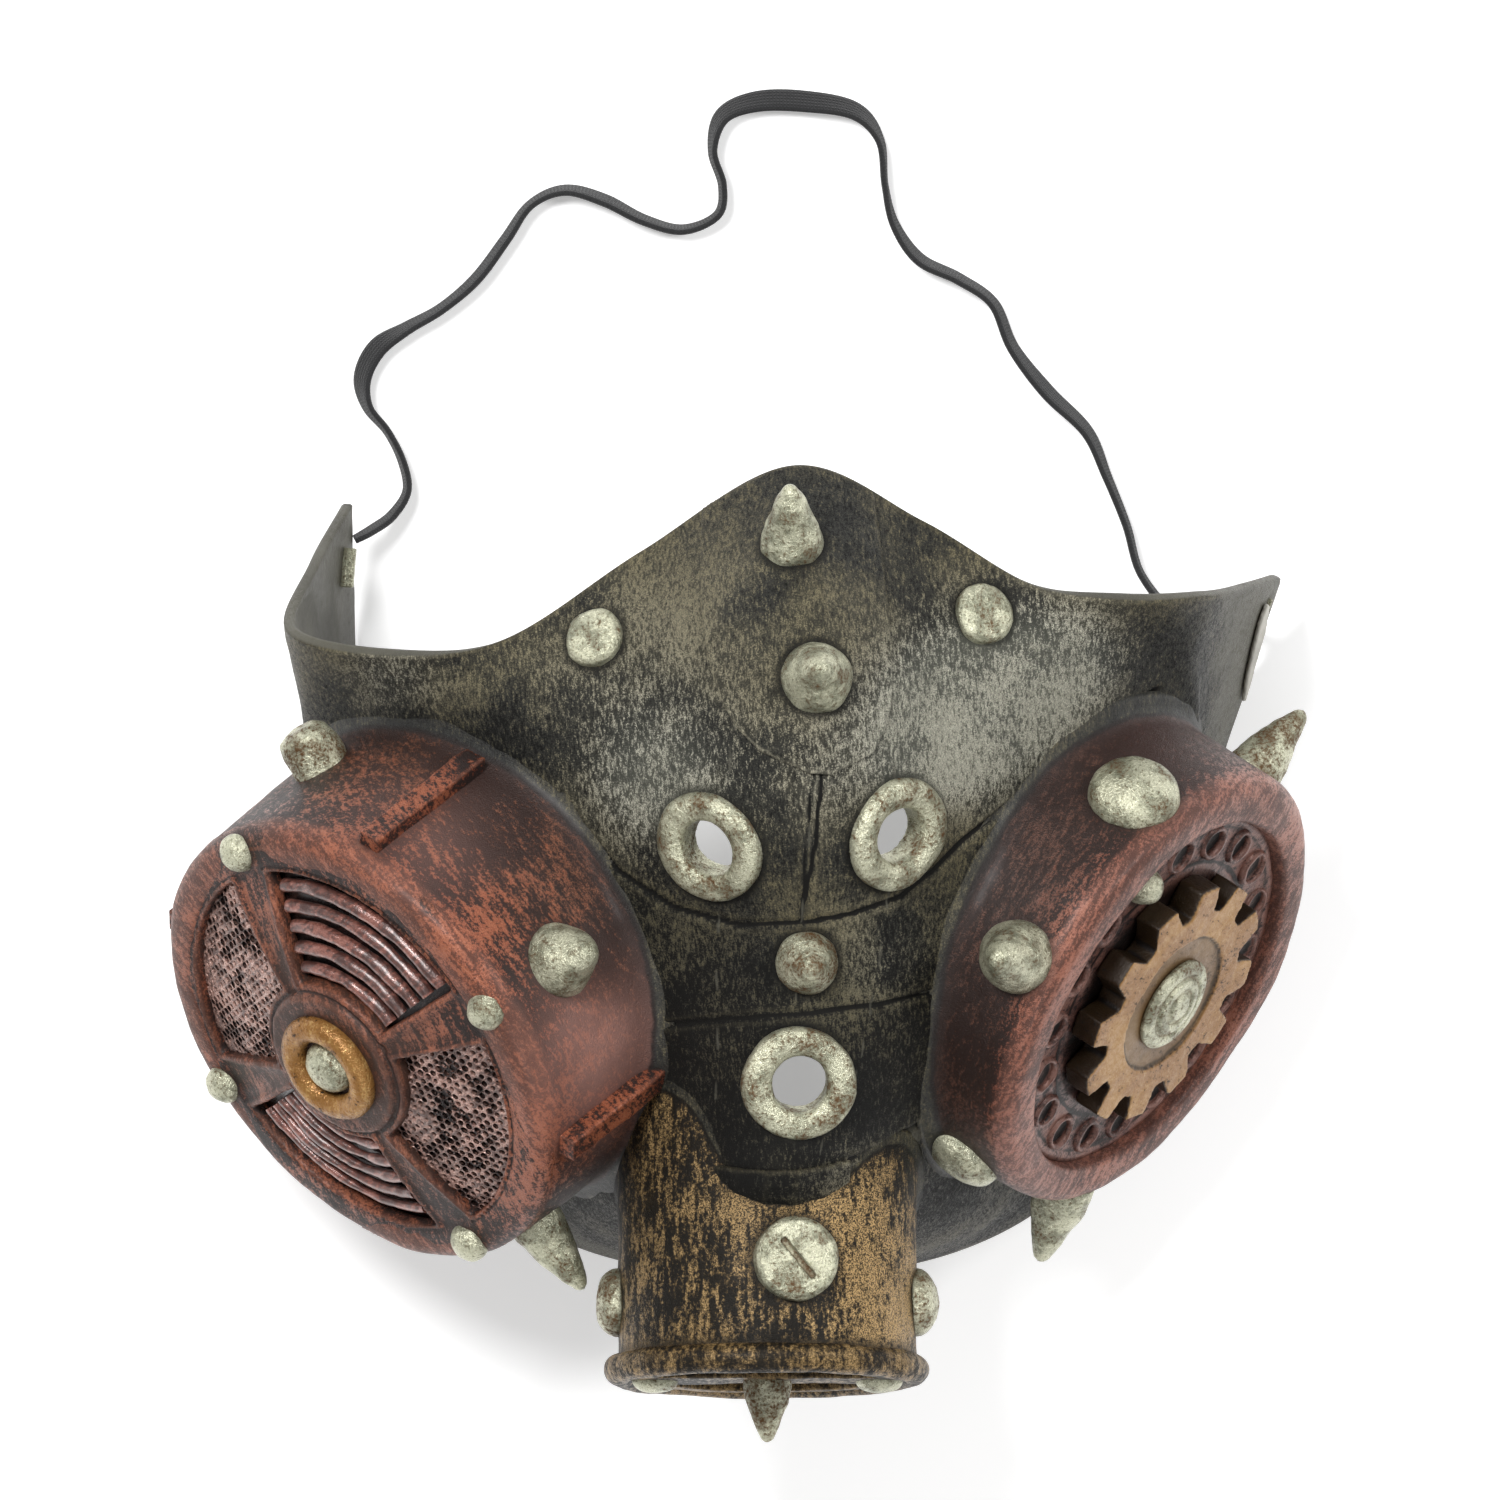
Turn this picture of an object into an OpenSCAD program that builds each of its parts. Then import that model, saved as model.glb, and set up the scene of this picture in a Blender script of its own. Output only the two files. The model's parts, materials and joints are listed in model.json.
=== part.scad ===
// Riveted respirator half mask, lying face up on its rear edge with its elastic strap loose beyond the nose.
// +Z is up out of the face, +Y points to the wearer's brow, +X to the viewer's right. Millimetres.

/* [Shell] */
// Wall thickness of the moulded mask body
shell_t = 2.2; // [1.6:0.1:3]
// Wall thickness of the raised nose patch and chin tab
patch_t = 1.2; // [0.8:0.1:2]

/* [Grommets] */
// Radius of the round hole through each grommet
grommet_bore_r = 5.6; // [4:0.1:6]
// Outer radius of the grommet flange
grommet_r = 11.5; // [9:0.5:13]
// Wall of the grommet barrel
barrel_wall = 1; // [0.6:0.1:1.4]

/* [Mesh canister] */
// Outer radius of the canister with the mesh windows
mesh_drum_r = 50; // [48:0.5:52]
// Depth of that canister from its face to the mask body
mesh_drum_len = 44; // [42:1:46]
// Tilt of the canister's axis from vertical
mesh_tilt = 55; // [50:1:60]
// Direction of the canister's axis seen from above
mesh_turn = 218; // [214:1:222]

/* [Gear canister] */
// Outer radius of the canister with the gear
gear_drum_r = 48.5; // [47:0.5:50]
// Depth of that canister from its face to the mask body
gear_drum_len = 29; // [27:1:31]
// Tilt of the canister's axis from vertical
gear_tilt = 65; // [60:1:68]
// Direction of the canister's axis seen from above
gear_turn = -32; // [-36:1:-28]
// Number of gear teeth
gear_teeth = 12; // [10:1:14]
// Radius over the gear teeth
gear_tip_r = 27; // [24:0.5:28]
// Thickness of the gear
gear_t = 6; // [4:0.5:7]
// Radius of the fixed axle that the gear turns on
axle_r = 4; // [3:0.5:5]

/* [Snout canister] */
// Outer radius of the chin canister
snout_r = 30; // [28:0.5:31]
// Depth of the chin canister
snout_len = 40; // [36:1:42]
// Tilt of its axis from vertical
snout_tilt = 83.5; // [80:0.5:86]

/* [Strap] */
// Width of the flat elastic strap
strap_w = 6; // [5:0.5:8]
// Thickness of the elastic strap
strap_t = 1.4; // [1:0.1:2]

/* [Hidden] */
fit = 0.05;
gap = 0.3;
sink = 1;
fine = 72;

// Moves everything so that the mask without its strap is centred on the origin.
centring = [2.7, 0.6, 0];
mesh_face = centring + [-79.6, -19.2, 86];
gear_face = centring + [82, -9, 67.5];
snout_face = centring + [3, -87, 78];

// Control net of the shell: three straight columns for each side flap, and seven hand-laid columns between.
// Each column runs from the floor edge up to the top edge.
flap_left = [[[-82, 48, 0], [-83, 90, 17]], [[-85, 36, 0], [-89, 78, 48]], [[-85, 18, 0], [-93, 64, 80]]];
flap_right = [[[90, 16, 0], [91, 71, 80]], [[94, 34, 0], [100, 73, 48]], [[99, 50, 0], [107, 75, 17]]];
columns = [
    [[-80, -8, 0], [-84, 0, 12], [-86, 10, 25], [-86, 20, 38], [-85, 30, 50], [-83, 40, 62], [-79, 50, 77], [-74, 59, 92]],
    [[-66, -38, 0], [-64, -30, 20], [-57, -16, 40], [-52, 0, 60], [-50, 16, 78], [-50, 32, 93], [-50, 48, 101], [-50, 62, 101]],
    [[-37, -60, 0], [-34, -55, 38], [-26, -44, 74], [-22, -22, 90], [-25, 2, 99], [-25, 28, 110], [-24, 56, 112], [-22, 80, 102]],
    [[4, -67, 0], [4, -63, 52], [5, -51, 101], [8, -28, 110], [9, 2, 115], [10, 34, 130], [9, 68, 127], [8, 97, 104]],
    [[43, -61, 0], [40, -56, 38], [33, -43, 74], [36, -20, 89], [41, 4, 98], [42, 30, 107], [38, 60, 110], [34, 86, 102]],
    [[69, -43, 0], [62, -33, 18], [60, -18, 34], [60, -2, 52], [60, 14, 69], [61, 33, 86], [58, 54, 98], [56, 73, 101]],
    [[82, -12, 0], [82, -2, 8], [84, 8, 20], [85, 19, 31], [86, 30, 42], [86, 42, 54], [82, 56, 74], [75, 70, 95]]
];
rows = 7;
function straight(ends) = [for (i = [0:rows]) ends[0] + (ends[1] - ends[0]) * i / rows];
net = concat([for (f = flap_left) straight(f)], columns, [for (f = flap_right) straight(f)]);
cols = len(net) - 1;

// A smooth surface through the net: s counts columns, v counts rows.
function knot(list, i) =
    i < 0 ? 2 * list[0] - list[1] :
    i > len(list) - 1 ? 2 * list[len(list) - 1] - list[len(list) - 2] : list[i];
function through(a, b, c, d, t) =
    b + 0.5 * t * (c - a + t * (2 * a - 5 * b + 4 * c - d + t * (3 * (b - c) + d - a)));
function along(list, x) =
    let (i = min(max(floor(x), 0), len(list) - 2))
    through(knot(list, i - 1), knot(list, i), knot(list, i + 1), knot(list, i + 2), x - i);
function skin(s, v) = centring + along([for (column = net) along(column, v)], s);
function unit(a) = a / norm(a);
function skin_normal(s, v) =
    let (
        e = 0.02,
        s0 = max(s - e, 0), s1 = min(s + e, cols),
        v0 = max(v - e, 0), v1 = min(v + e, rows)
    )
    unit(cross(skin(s1, v) - skin(s0, v), skin(s, v1) - skin(s, v0)));
function above_floor(p) = [p.x, p.y, max(p.z, 0)];
function skin_offset(s, v, h) = above_floor(skin(s, v) + h * skin_normal(s, v));

// A closed sheet between two heights over the shell, from a grid of [s, v] places.
module sheet_over(grid, low, high) {
    ni = len(grid);
    nj = len(grid[0]);
    count = ni * nj;
    points = [for (h = [high, low]) for (line = grid) for (q = line) skin_offset(q[0], q[1], h)];
    function at(i, j) = i * nj + j;
    top = [for (i = [0:ni - 2]) for (j = [0:nj - 2])
        each [[at(i, j), at(i, j + 1), at(i + 1, j + 1)], [at(i, j), at(i + 1, j + 1), at(i + 1, j)]]];
    bottom = [for (f = top) [f[2] + count, f[1] + count, f[0] + count]];
    border = concat(
        [for (j = [0:nj - 2]) at(0, j)], [for (i = [0:ni - 2]) at(i, nj - 1)],
        [for (j = [nj - 1:-1:1]) at(ni - 1, j)], [for (i = [ni - 1:-1:1]) at(i, 0)]
    );
    n = len(border);
    sides = [for (k = [0:n - 1])
        let (a = border[k], b = border[(k + 1) % n])
        each [[a, a + count, b + count], [a, b + count, b]]];
    polyhedron(points, concat(top, bottom, sides));
}

// What is cut off a drum's root, so that it ends inside the thickness of the shell.
module trim_block(s_low, s_high, v_low, v_high, depth = 16) {
    steps = 14;
    sheet_over([for (i = [0:steps]) [for (j = [0:steps])
        [s_low + (s_high - s_low) * i / steps, v_low + (v_high - v_low) * j / steps]]], -depth, -sink);
}

module face_along(place, tilt, turn) {
    translate(place) rotate([0, tilt, turn]) children();
}

module on_skin(s, v) {
    n = skin_normal(s, v);
    face_along(skin(s, v), acos(n.z), atan2(n.y, n.x)) children();
}

module leaning_on_skin(s, v, tilt, turn) {
    face_along(skin(s, v), tilt, turn) children();
}

module at_mesh_canister() {
    face_along(mesh_face, mesh_tilt, mesh_turn) children();
}

module at_gear_canister() {
    face_along(gear_face, gear_tilt, gear_turn) children();
}

module at_snout() {
    face_along(snout_face, snout_tilt, -90) children();
}

// Places a stud on a drum's side, at an angle round it and a depth behind its face.
module on_drum(r, angle, depth) {
    rotate([0, 0, angle]) translate([r, 0, -depth]) rotate([0, 90, 0]) children();
}

// A solid of revolution from [radius, height] points.
module turned(points) {
    rotate_extrude($fn = fine) polygon(points);
}

function arc_points(r, h, from, to, steps) =
    [for (i = [0:steps]) let (a = from + (to - from) * i / steps) [r * cos(a), h * sin(a)]];

module dome(r, h) {
    turned(concat([[0, -sink], [r, -sink]], arc_points(r, h, 0, 90, 6)));
}

module spike(r, h) {
    turned([[0, -sink], [r, -sink], [r, 0.08 * h], [0.84 * r, 0.35 * h], [0.5 * r, 0.72 * h],
        [0.24 * r, 0.94 * h], [0, h]]);
}

module flat_stud(r, h) {
    turned([[0, -sink], [r, -sink], [r, 0.5 * h], [0.85 * r, 0.85 * h], [0.5 * r, h], [0, h]]);
}

module tube(outer, inner, low, high) {
    turned([[inner, low], [outer, low], [outer, high], [inner, high]]);
}

// ---- mask body
grommet_places = [[5.49, 4.68], [6.56, 4.73], [6.04, 3.08]];
hole_clear = 0.2;

module face_shell() {
    grid = [for (i = [0:4 * cols]) [for (j = [0:3 * rows]) [i / 4, j / 3]]];
    color("#4d4a3a") difference() {
        sheet_over(grid, -shell_t, 0);
        for (q = grommet_places) on_skin(q[0], q[1])
            cylinder(h = 16, r = grommet_bore_r + barrel_wall + hole_clear, center = true, $fn = fine);
    }
}

module nose_patch() {
    steps = 12;
    top_row = 6.97;
    foot_row = 5.05;
    color("#5a5644") sheet_over([for (i = [0:8]) [for (j = [0:steps])
        let (
            drop = j / steps,
            half = 0.585 * sqrt(max(1 - pow(drop, 4), 0.01)),
            side = i / 4 - 1
        )
        [6 + side * half + 0.1 * drop * drop, foot_row + (top_row - foot_row) * (1 - drop)]]], -sink / 2, patch_t);
}

module chin_tab() {
    color("#38362c") sheet_over([for (i = [0:5]) [for (j = [0:3]) [5.54 + 0.186 * i, 2.04 + 0.12 * j]]],
        -sink / 2, patch_t);
}

module grommet() {
    r = grommet_bore_r;
    mid = (grommet_r + r) / 2;
    half = (grommet_r - r) / 2;
    turned(concat(
        [[r, -5], [r + barrel_wall, -5], [r + barrel_wall, -1.2], [grommet_r, -1.2]],
        [for (i = [0:6]) let (a = 180 * i / 6) [mid + half * cos(a), 0.4 + 2 * sin(a)]]
    ));
}

module grommet_at(i) {
    color("#b9baa2") on_skin(grommet_places[i][0], grommet_places[i][1]) grommet();
}

module grommet_washers() {
    color("#a9aa94") for (q = grommet_places) on_skin(q[0], q[1])
        tube(grommet_r - 2, grommet_bore_r + barrel_wall + fit, -4.4, -3.2);
}

// ---- canister with mesh windows
cover_t = 4;
spoke_angles = [77, 167, 257, 347];
rib_angles = [36, 126, 216, 306];
window_inner_r = 18;
window_outer_r = 41;
boss_r = 16;
crown_h = 7;
crown_r = 44;

// how far the cover bulges at a radius
function crown(r) = crown_h * (1 - pow(min(r, crown_r) / crown_r, 2));

module mesh_drum() {
    root = -mesh_drum_len - 3;
    color("#8a4a35") difference() {
        at_mesh_canister() turned([
            [mesh_drum_r - 4, root], [mesh_drum_r + 1, root], [mesh_drum_r, root + 18],
            [mesh_drum_r, -cover_t], [mesh_drum_r - 4, -cover_t]
        ]);
        trim_block(2, 6, 0.4, 6.6, 24);
    }
}

module mesh_cover() {
    color("#93503a") at_mesh_canister() difference() {
        turned(concat(
            [for (r = [0:4:44]) [r, crown(r) - cover_t]],
            [[mesh_drum_r, -cover_t]],
            [for (i = [1:5]) let (a = 90 * i / 5) [mesh_drum_r - 4 + 4 * cos(a), -4 + 4 * sin(a)]],
            [[window_outer_r + 1.6, crown(window_outer_r + 1.6)]],
            [for (r = [window_outer_r + 0.6, 37, 32, 27, 22, boss_r]) [r, crown(r) - 1]],
            [[boss_r, crown(boss_r) + 0.6], [0, crown(boss_r) + 0.6]]));
        for (window = [32, 122, 212, 302]) rotate([0, 0, window + 180]) window_hole();
    }
}

module window_hole() {
    sweep = 72;
    rotate([0, 0, -sweep / 2]) rotate_extrude(angle = sweep, $fn = fine)
        translate([window_inner_r, -cover_t - 1]) square([window_outer_r - window_inner_r, cover_t + crown_h + 3]);
}

module mesh_screen() {
    edge = mesh_drum_r - 4.2;
    color("#5b3b30") at_mesh_canister() translate([0, 0, -cover_t - 2.2])
        turned(concat([for (r = [0:4:44]) [r, crown(r)]], [[edge, 0], [edge, 2]],
            [for (r = [44:-4:0]) [r, crown(r) + 2]]));
}

module mesh_louvres() {
    sweep = 70;
    color("#7d4433") at_mesh_canister() for (window = [32, 212], step = [0:4])
        rotate([0, 0, window + 180 - sweep / 2]) rotate_extrude(angle = sweep, $fn = fine)
            translate([20.2 + 4.3 * step, crown(21.5 + 4.3 * step) - cover_t - 0.2]) square([2.6, 2.4]);
}

module mesh_hub_ring() {
    color("#8f6b2e") at_mesh_canister() translate([0, 0, crown(boss_r) + 1.4])
        rotate_extrude($fn = fine) translate([9, 0]) circle(r = 2.7, $fn = 24);
}

module mesh_hub_dome() {
    color("#b9baa2") at_mesh_canister() translate([0, 0, crown(boss_r) + 0.6]) dome(5.6, 4.4);
}

module mesh_cover_rivets() {
    color("#b9baa2") at_mesh_canister() for (a = spoke_angles)
        rotate([0, 0, a + 180]) translate([46, 0, -0.4]) dome(4.1, 3.6);
}

module mesh_drum_ribs() {
    color("#8a4a35") at_mesh_canister() for (a = rib_angles)
        rotate([0, 0, a + 180]) translate([mesh_drum_r - 1, -2.5, -38]) cube([4.5, 5, 33]);
}

module mesh_drum_cone() {
    color("#b9baa2") at_mesh_canister() on_drum(mesh_drum_r, 167, 19) spike(7.4, 12);
}

module mesh_drum_rear_stud() {
    color("#b9baa2") at_mesh_canister() on_drum(mesh_drum_r, 255, 27) flat_stud(6, 9);
}

module mesh_drum_spike() {
    color("#b9baa2") at_mesh_canister() on_drum(mesh_drum_r, 85, 12) spike(5.6, 17);
}

// ---- canister with the gear
dish_r = 39.5;
dish_floor = -3.4;
ring_circle_r = 33.7;
ring_count = 18;
stud_slot = 3;

module gear_drum() {
    root = -gear_drum_len - 5;
    color("#8a4a35") difference() {
        at_gear_canister() turned(concat(
            [[dish_r, -8], [gear_drum_r - 4, -10], [gear_drum_r - 4, root], [gear_drum_r + 1, root],
                [gear_drum_r, root + 14]],
            [for (i = [0:5]) let (a = 90 * i / 5) [gear_drum_r - 3 + 3 * cos(a), -3 + 3 * sin(a)]],
            [[dish_r + 1, 0], [dish_r, -1]]
        ));
        trim_block(6, 10, 0.4, 6.6);
    }
}

module gear_dish() {
    color("#6d3d30") at_gear_canister() {
        translate([0, 0, dish_floor - 2.5]) cylinder(h = 2.5, r = dish_r, $fn = fine);
        for (i = [0:ring_count - 1]) if (i != stud_slot)
            rotate([0, 0, 90 + i * 360 / ring_count]) translate([ring_circle_r, 0, 0])
                difference() {
                    translate([0, 0, dish_floor - 0.5]) cylinder(h = 1.3, r = 4, $fn = 24);
                    translate([0, 0, dish_floor]) cylinder(h = 1.3, r = 2.9, $fn = 24);
                }
    }
}

gear_low = dish_floor + 0.5;
gear_root_r = gear_tip_r - 5.6;
gear_recess_r = 15.3;

module gear_wheel() {
    pitch = 360 / gear_teeth;
    color("#a5793a") at_gear_canister() translate([0, 0, gear_low]) difference() {
        union() {
            cylinder(h = gear_t, r = gear_root_r, $fn = fine);
            for (i = [0:gear_teeth - 1]) rotate([0, 0, i * pitch]) linear_extrude(gear_t)
                polygon([[gear_root_r - 2, -4.2], [gear_root_r + 0.6, -4], [gear_tip_r - 0.1, -3],
                    [gear_tip_r, 0], [gear_tip_r - 0.1, 3], [gear_root_r + 0.6, 4], [gear_root_r - 2, 4.2]]);
        }
        translate([0, 0, gear_t - 0.8]) cylinder(h = 2, r = gear_recess_r, $fn = fine);
        translate([0, 0, -1]) cylinder(h = gear_t + 2, r = axle_r + fit, $fn = fine);
    }
}

module gear_axle() {
    color("#8c8d7c") at_gear_canister()
        translate([0, 0, dish_floor - 4]) cylinder(h = gear_t + 4.6, r = axle_r, $fn = fine);
}

module gear_hub_cap() {
    low = gear_low + gear_t - 0.8 + gap;
    color("#b9baa2") at_gear_canister() translate([0, 0, low])
        turned([[0, 0], [10, 0], [10, 0.9], [9, 1.7], [7.4, 1.8], [7, 1.3], [6.4, 1.4], [5.9, 2.2], [4.4, 2.3],
            [4, 1.8], [3.2, 1.9], [2.6, 2.6], [0, 2.9]]);
}

module dish_stud() {
    color("#b9baa2") at_gear_canister() rotate([0, 0, 90 + stud_slot * 360 / ring_count])
        translate([ring_circle_r, 0, dish_floor]) dome(3.8, 4.6);
}

module gear_drum_dome() {
    color("#b9baa2") at_gear_canister() on_drum(gear_drum_r, 140, 12) dome(9.2, 6);
}

module gear_drum_cone() {
    color("#b9baa2") at_gear_canister() on_drum(gear_drum_r, 190, 10)
        rotate([0, -12, 0]) spike(7.4, 16);
}

module gear_drum_low_dome() {
    color("#b9baa2") at_gear_canister() on_drum(gear_drum_r, 260, 15) dome(8.4, 5);
}

module gear_drum_side_spike() {
    color("#b9baa2") at_gear_canister() on_drum(gear_drum_r, 72, 16) spike(6, 19);
}

module gear_drum_chin_spike() {
    color("#b9baa2") at_gear_canister() on_drum(gear_drum_r, 300, 7) spike(6.2, 19);
}

// ---- chin canister
module snout_drum() {
    root = -snout_len - 1;
    color("#7b5f30") difference() {
        at_snout() turned([[snout_r - 3, root], [snout_r, root],
            [snout_r - 0.8, root + 8], [snout_r, -6], [snout_r, -3.6], [snout_r - 3, -3.6]]);
        trim_block(4.5, 7.5, 0.2, 3.2);
    }
}

module snout_rim() {
    color("#7b5f30") at_snout() translate([0, 0, -3.4])
        rotate_extrude($fn = fine) translate([snout_r - 0.4, 0]) circle(r = 3, $fn = 24);
}

module snout_end_plate() {
    color("#6d4a2c") at_snout() translate([0, 0, -3.2]) {
        tube(snout_r - 2.8, snout_r - 7, 0, 2);
        translate([-6.5, 6.4 - snout_r, 0]) cube([13, 2 * snout_r - 12.8, 2]);
    }
}

module snout_screen() {
    color("#33302a") at_snout() translate([0, 0, -5.4]) cylinder(h = 2, r = snout_r - 3.2, $fn = fine);
}

module snout_screw() {
    color("#b9baa2") at_snout() on_drum(snout_r, 169, 23) difference() {
        turned([[0, -3], [8.4, -3], [8.4, 1.8], [7.4, 2.8], [0, 3]]);
        rotate([0, 0, 40]) translate([-5, -0.7, 1.8]) cube([10, 1.4, 3]);
    }
}

module snout_side_studs() {
    color("#b9baa2") at_snout() for (a = [90, 270]) on_drum(snout_r, a, 17) dome(7, 4.4);
}

module snout_face_studs() {
    color("#b9baa2") at_snout() for (side = [-1, 1]) translate([0, 22.4 * side, -1.2]) dome(4.6, 2.4);
}

module snout_spike() {
    color("#b9baa2") at_snout() translate([0, 0, -1.2]) spike(4.9, 12.5);
}

// ---- studs on the mask body
module nose_spike_upper() {
    color("#b9baa2") leaning_on_skin(5.98, 6.44, 48, 92) spike(6.2, 15.5);
}

module nose_spike_lower() {
    color("#b9baa2") leaning_on_skin(6.1, 5.6, 10, 75) spike(7.2, 13);
}

module lip_stud() {
    color("#b9baa2") on_skin(6.06, 3.88) spike(6.4, 9);
}

module cheek_studs() {
    color("#b9baa2") for (q = [[4.72, 6.42], [7.45, 6.45]]) on_skin(q[0], q[1]) flat_stud(6, 2.8);
}

// ---- strap and its anchors
strap_places = [[0.35, 5.6], [11.65, 5.4]];

module strap_staples() {
    color("#9a9a92") for (q = strap_places) on_skin(q[0], q[1])
        translate([-0.8, -4, -shell_t - 2.4]) cube([1.6, 8, 3.4 + shell_t]);
}

module strap_patches() {
    rows_of = 8;
    color("#d8d8d2") for (side = [0, 1]) sheet_over([for (i = [0:4]) [for (j = [0:rows_of])
        let (
            a = -1 + 2 * j / rows_of,
            half = 0.16 * sqrt(max(1 - a * a, 0.04)),
            middle = side == 0 ? 0.42 : cols - 0.42
        )
        [middle + half * (i / 2 - 1), 3.9 + 2.2 * a]]], 0.2, 1.2);
}

// The strap stands mostly on its edge; its centre line lies on the floor between the two flaps.
strap_route = [
    [-80.5, 83, 13], [-77, 85, 10], [-73, 88, 6], [-70, 93, 4], [-71, 99, 3], [-74, 105, 3], [-78, 110, 3],
    [-79, 116, 3], [-76, 122, 3], [-70, 126, 3], [-63, 130, 3], [-56, 136, 3], [-50, 144, 3], [-45, 151, 3],
    [-38, 154, 3], [-30, 152, 3], [-22, 148, 3], [-14, 146, 3], [-7, 149, 3], [-6, 155, 3], [-8, 162, 3],
    [-6, 169, 3], [1, 172, 3], [11, 172, 3], [21, 170, 3], [26, 164, 3], [27, 155, 3], [29, 147, 3],
    [34, 140, 3], [42, 136, 3], [49, 131, 3], [53, 122, 3], [60, 113, 3], [68, 105, 3], [72, 96, 3],
    [76, 86, 3], [79, 76, 4], [86, 68, 7], [95, 66, 10], [101.5, 67, 12.5]
];

function flat_part(a) = unit([a.x, a.y, 0]);
module elastic_strap() {
    n = len(strap_route);
    sides = 8;
    points = [for (i = [0:n - 1])
        let (
            ahead = flat_part(strap_route[min(i + 1, n - 1)] - strap_route[max(i - 1, 0)]),
            across = [ahead.y, -ahead.x, 0]
        )
        for (k = [0:sides - 1])
            let (a = (k + 0.5) * 360 / sides)
            centring + strap_route[i] + across * strap_t / 2 * cos(a) / cos(22.5) + [0, 0, strap_w / 2 * sin(a) / cos(22.5)]];
    walls = [for (i = [0:n - 2]) for (k = [0:sides - 1])
        let (a = i * sides + k, b = i * sides + (k + 1) % sides)
        each [[a, b, b + sides], [a, b + sides, a + sides]]];
    first = [[for (k = [sides - 1:-1:0]) k]];
    last = [[for (k = [0:sides - 1]) (n - 1) * sides + k]];
    color("#17171a") polyhedron(points, concat(walls, first, last));
}

face_shell();
nose_patch();
chin_tab();
grommet_at(0);  // nostril_grommet_right
grommet_at(1);  // nostril_grommet_left
grommet_at(2);  // mouth_grommet
grommet_washers();
mesh_drum();
mesh_cover();
mesh_screen();
mesh_louvres();
mesh_hub_ring();
mesh_hub_dome();
mesh_cover_rivets();
mesh_drum_ribs();
mesh_drum_cone();
mesh_drum_rear_stud();
mesh_drum_spike();
gear_drum();
gear_dish();
gear_wheel();
gear_axle();
gear_hub_cap();
dish_stud();
gear_drum_dome();
gear_drum_cone();
gear_drum_low_dome();
gear_drum_side_spike();
gear_drum_chin_spike();
snout_drum();
snout_rim();
snout_end_plate();
snout_screen();
snout_screw();
snout_side_studs();
snout_face_studs();
snout_spike();
nose_spike_upper();
nose_spike_lower();
lip_stud();
cheek_studs();
strap_staples();
strap_patches();
elastic_strap();
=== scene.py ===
import json
import math
import bpy
import bmesh
import numpy as np
from mathutils import Matrix, Vector, noise
from mathutils.bvhtree import BVHTree


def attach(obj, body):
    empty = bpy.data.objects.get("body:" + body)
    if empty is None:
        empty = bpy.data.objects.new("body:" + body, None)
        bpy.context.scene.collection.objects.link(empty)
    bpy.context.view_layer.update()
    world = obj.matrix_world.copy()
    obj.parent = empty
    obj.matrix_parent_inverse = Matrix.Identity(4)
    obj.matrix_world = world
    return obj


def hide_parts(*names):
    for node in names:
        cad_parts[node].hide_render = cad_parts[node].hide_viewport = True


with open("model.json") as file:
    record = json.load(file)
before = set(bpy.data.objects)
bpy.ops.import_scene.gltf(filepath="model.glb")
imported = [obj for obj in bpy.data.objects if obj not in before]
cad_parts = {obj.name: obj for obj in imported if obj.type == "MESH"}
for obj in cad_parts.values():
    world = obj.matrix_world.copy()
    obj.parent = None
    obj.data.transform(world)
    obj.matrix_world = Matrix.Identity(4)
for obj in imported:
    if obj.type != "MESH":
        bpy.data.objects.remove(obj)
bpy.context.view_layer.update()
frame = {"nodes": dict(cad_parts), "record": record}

mm = 0.001
scene = bpy.context.scene
scene.view_settings.view_transform = "Standard"

# small tools that every piece uses


def addObject(name, mesh):
    obj = bpy.data.objects.new(name, mesh)
    scene.collection.objects.link(obj)
    return obj


def meshOf(name, points, faces):
    mesh = bpy.data.meshes.new(name)
    mesh.from_pydata(np.asarray(points, float).tolist(), [], [list(f) for f in faces])
    mesh.update()
    return addObject(name, mesh)


def readPoints(mesh):
    flat = np.empty(len(mesh.vertices) * 3, np.float32)
    mesh.vertices.foreach_get("co", flat)
    return flat.reshape(-1, 3).astype(float)


def writePoints(mesh, points):
    mesh.vertices.foreach_set("co", np.asarray(points, np.float32).ravel())
    mesh.update()


def readNormals(mesh):
    flat = np.empty(len(mesh.vertices) * 3, np.float32)
    mesh.vertex_normals.foreach_get("vector", flat)
    return flat.reshape(-1, 3).astype(float)


def setMark(obj, name, values):
    # a per-point number that a material reads
    mark = obj.data.attributes.get(name) or obj.data.attributes.new(name, "FLOAT", "POINT")
    mark.data.foreach_set("value", np.asarray(values, np.float32))


def readMark(obj, name):
    values = np.empty(len(obj.data.vertices), np.float32)
    obj.data.attributes[name].data.foreach_get("value", values)
    return values


def step(low, high, values):
    t = np.clip((np.asarray(values, float) - low) / (high - low), 0, 1)
    return t * t * (3 - 2 * t)


def grainOf(points, size, seed):
    shift = Vector((seed, -seed, 0.37 * seed))
    return np.array([noise.noise(Vector(p) / (size * mm) + shift) for p in points])


def roughen(obj, layers, seed=1.0):
    # each layer is (size of the lumps, height), both in millimetres
    points, normals = readPoints(obj.data), readNormals(obj.data)
    lift = np.zeros(len(points))
    for k, (size, height) in enumerate(layers):
        lift += height * mm * grainOf(points, size, seed + 3.1 * k)
    writePoints(obj.data, points + normals * lift[:, None])


def smoothed(points, edges, rounds):
    a, b = edges[:, 0], edges[:, 1]
    count = len(points)
    share = np.maximum(np.bincount(a, minlength=count) + np.bincount(b, minlength=count), 1)
    out = points.copy()
    for _ in range(rounds):
        total = np.stack([
            np.bincount(a, out[b, c], count) + np.bincount(b, out[a, c], count) for c in range(3)], 1)
        out = 0.4 * out + 0.6 * total / share[:, None]
    return out


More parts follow.
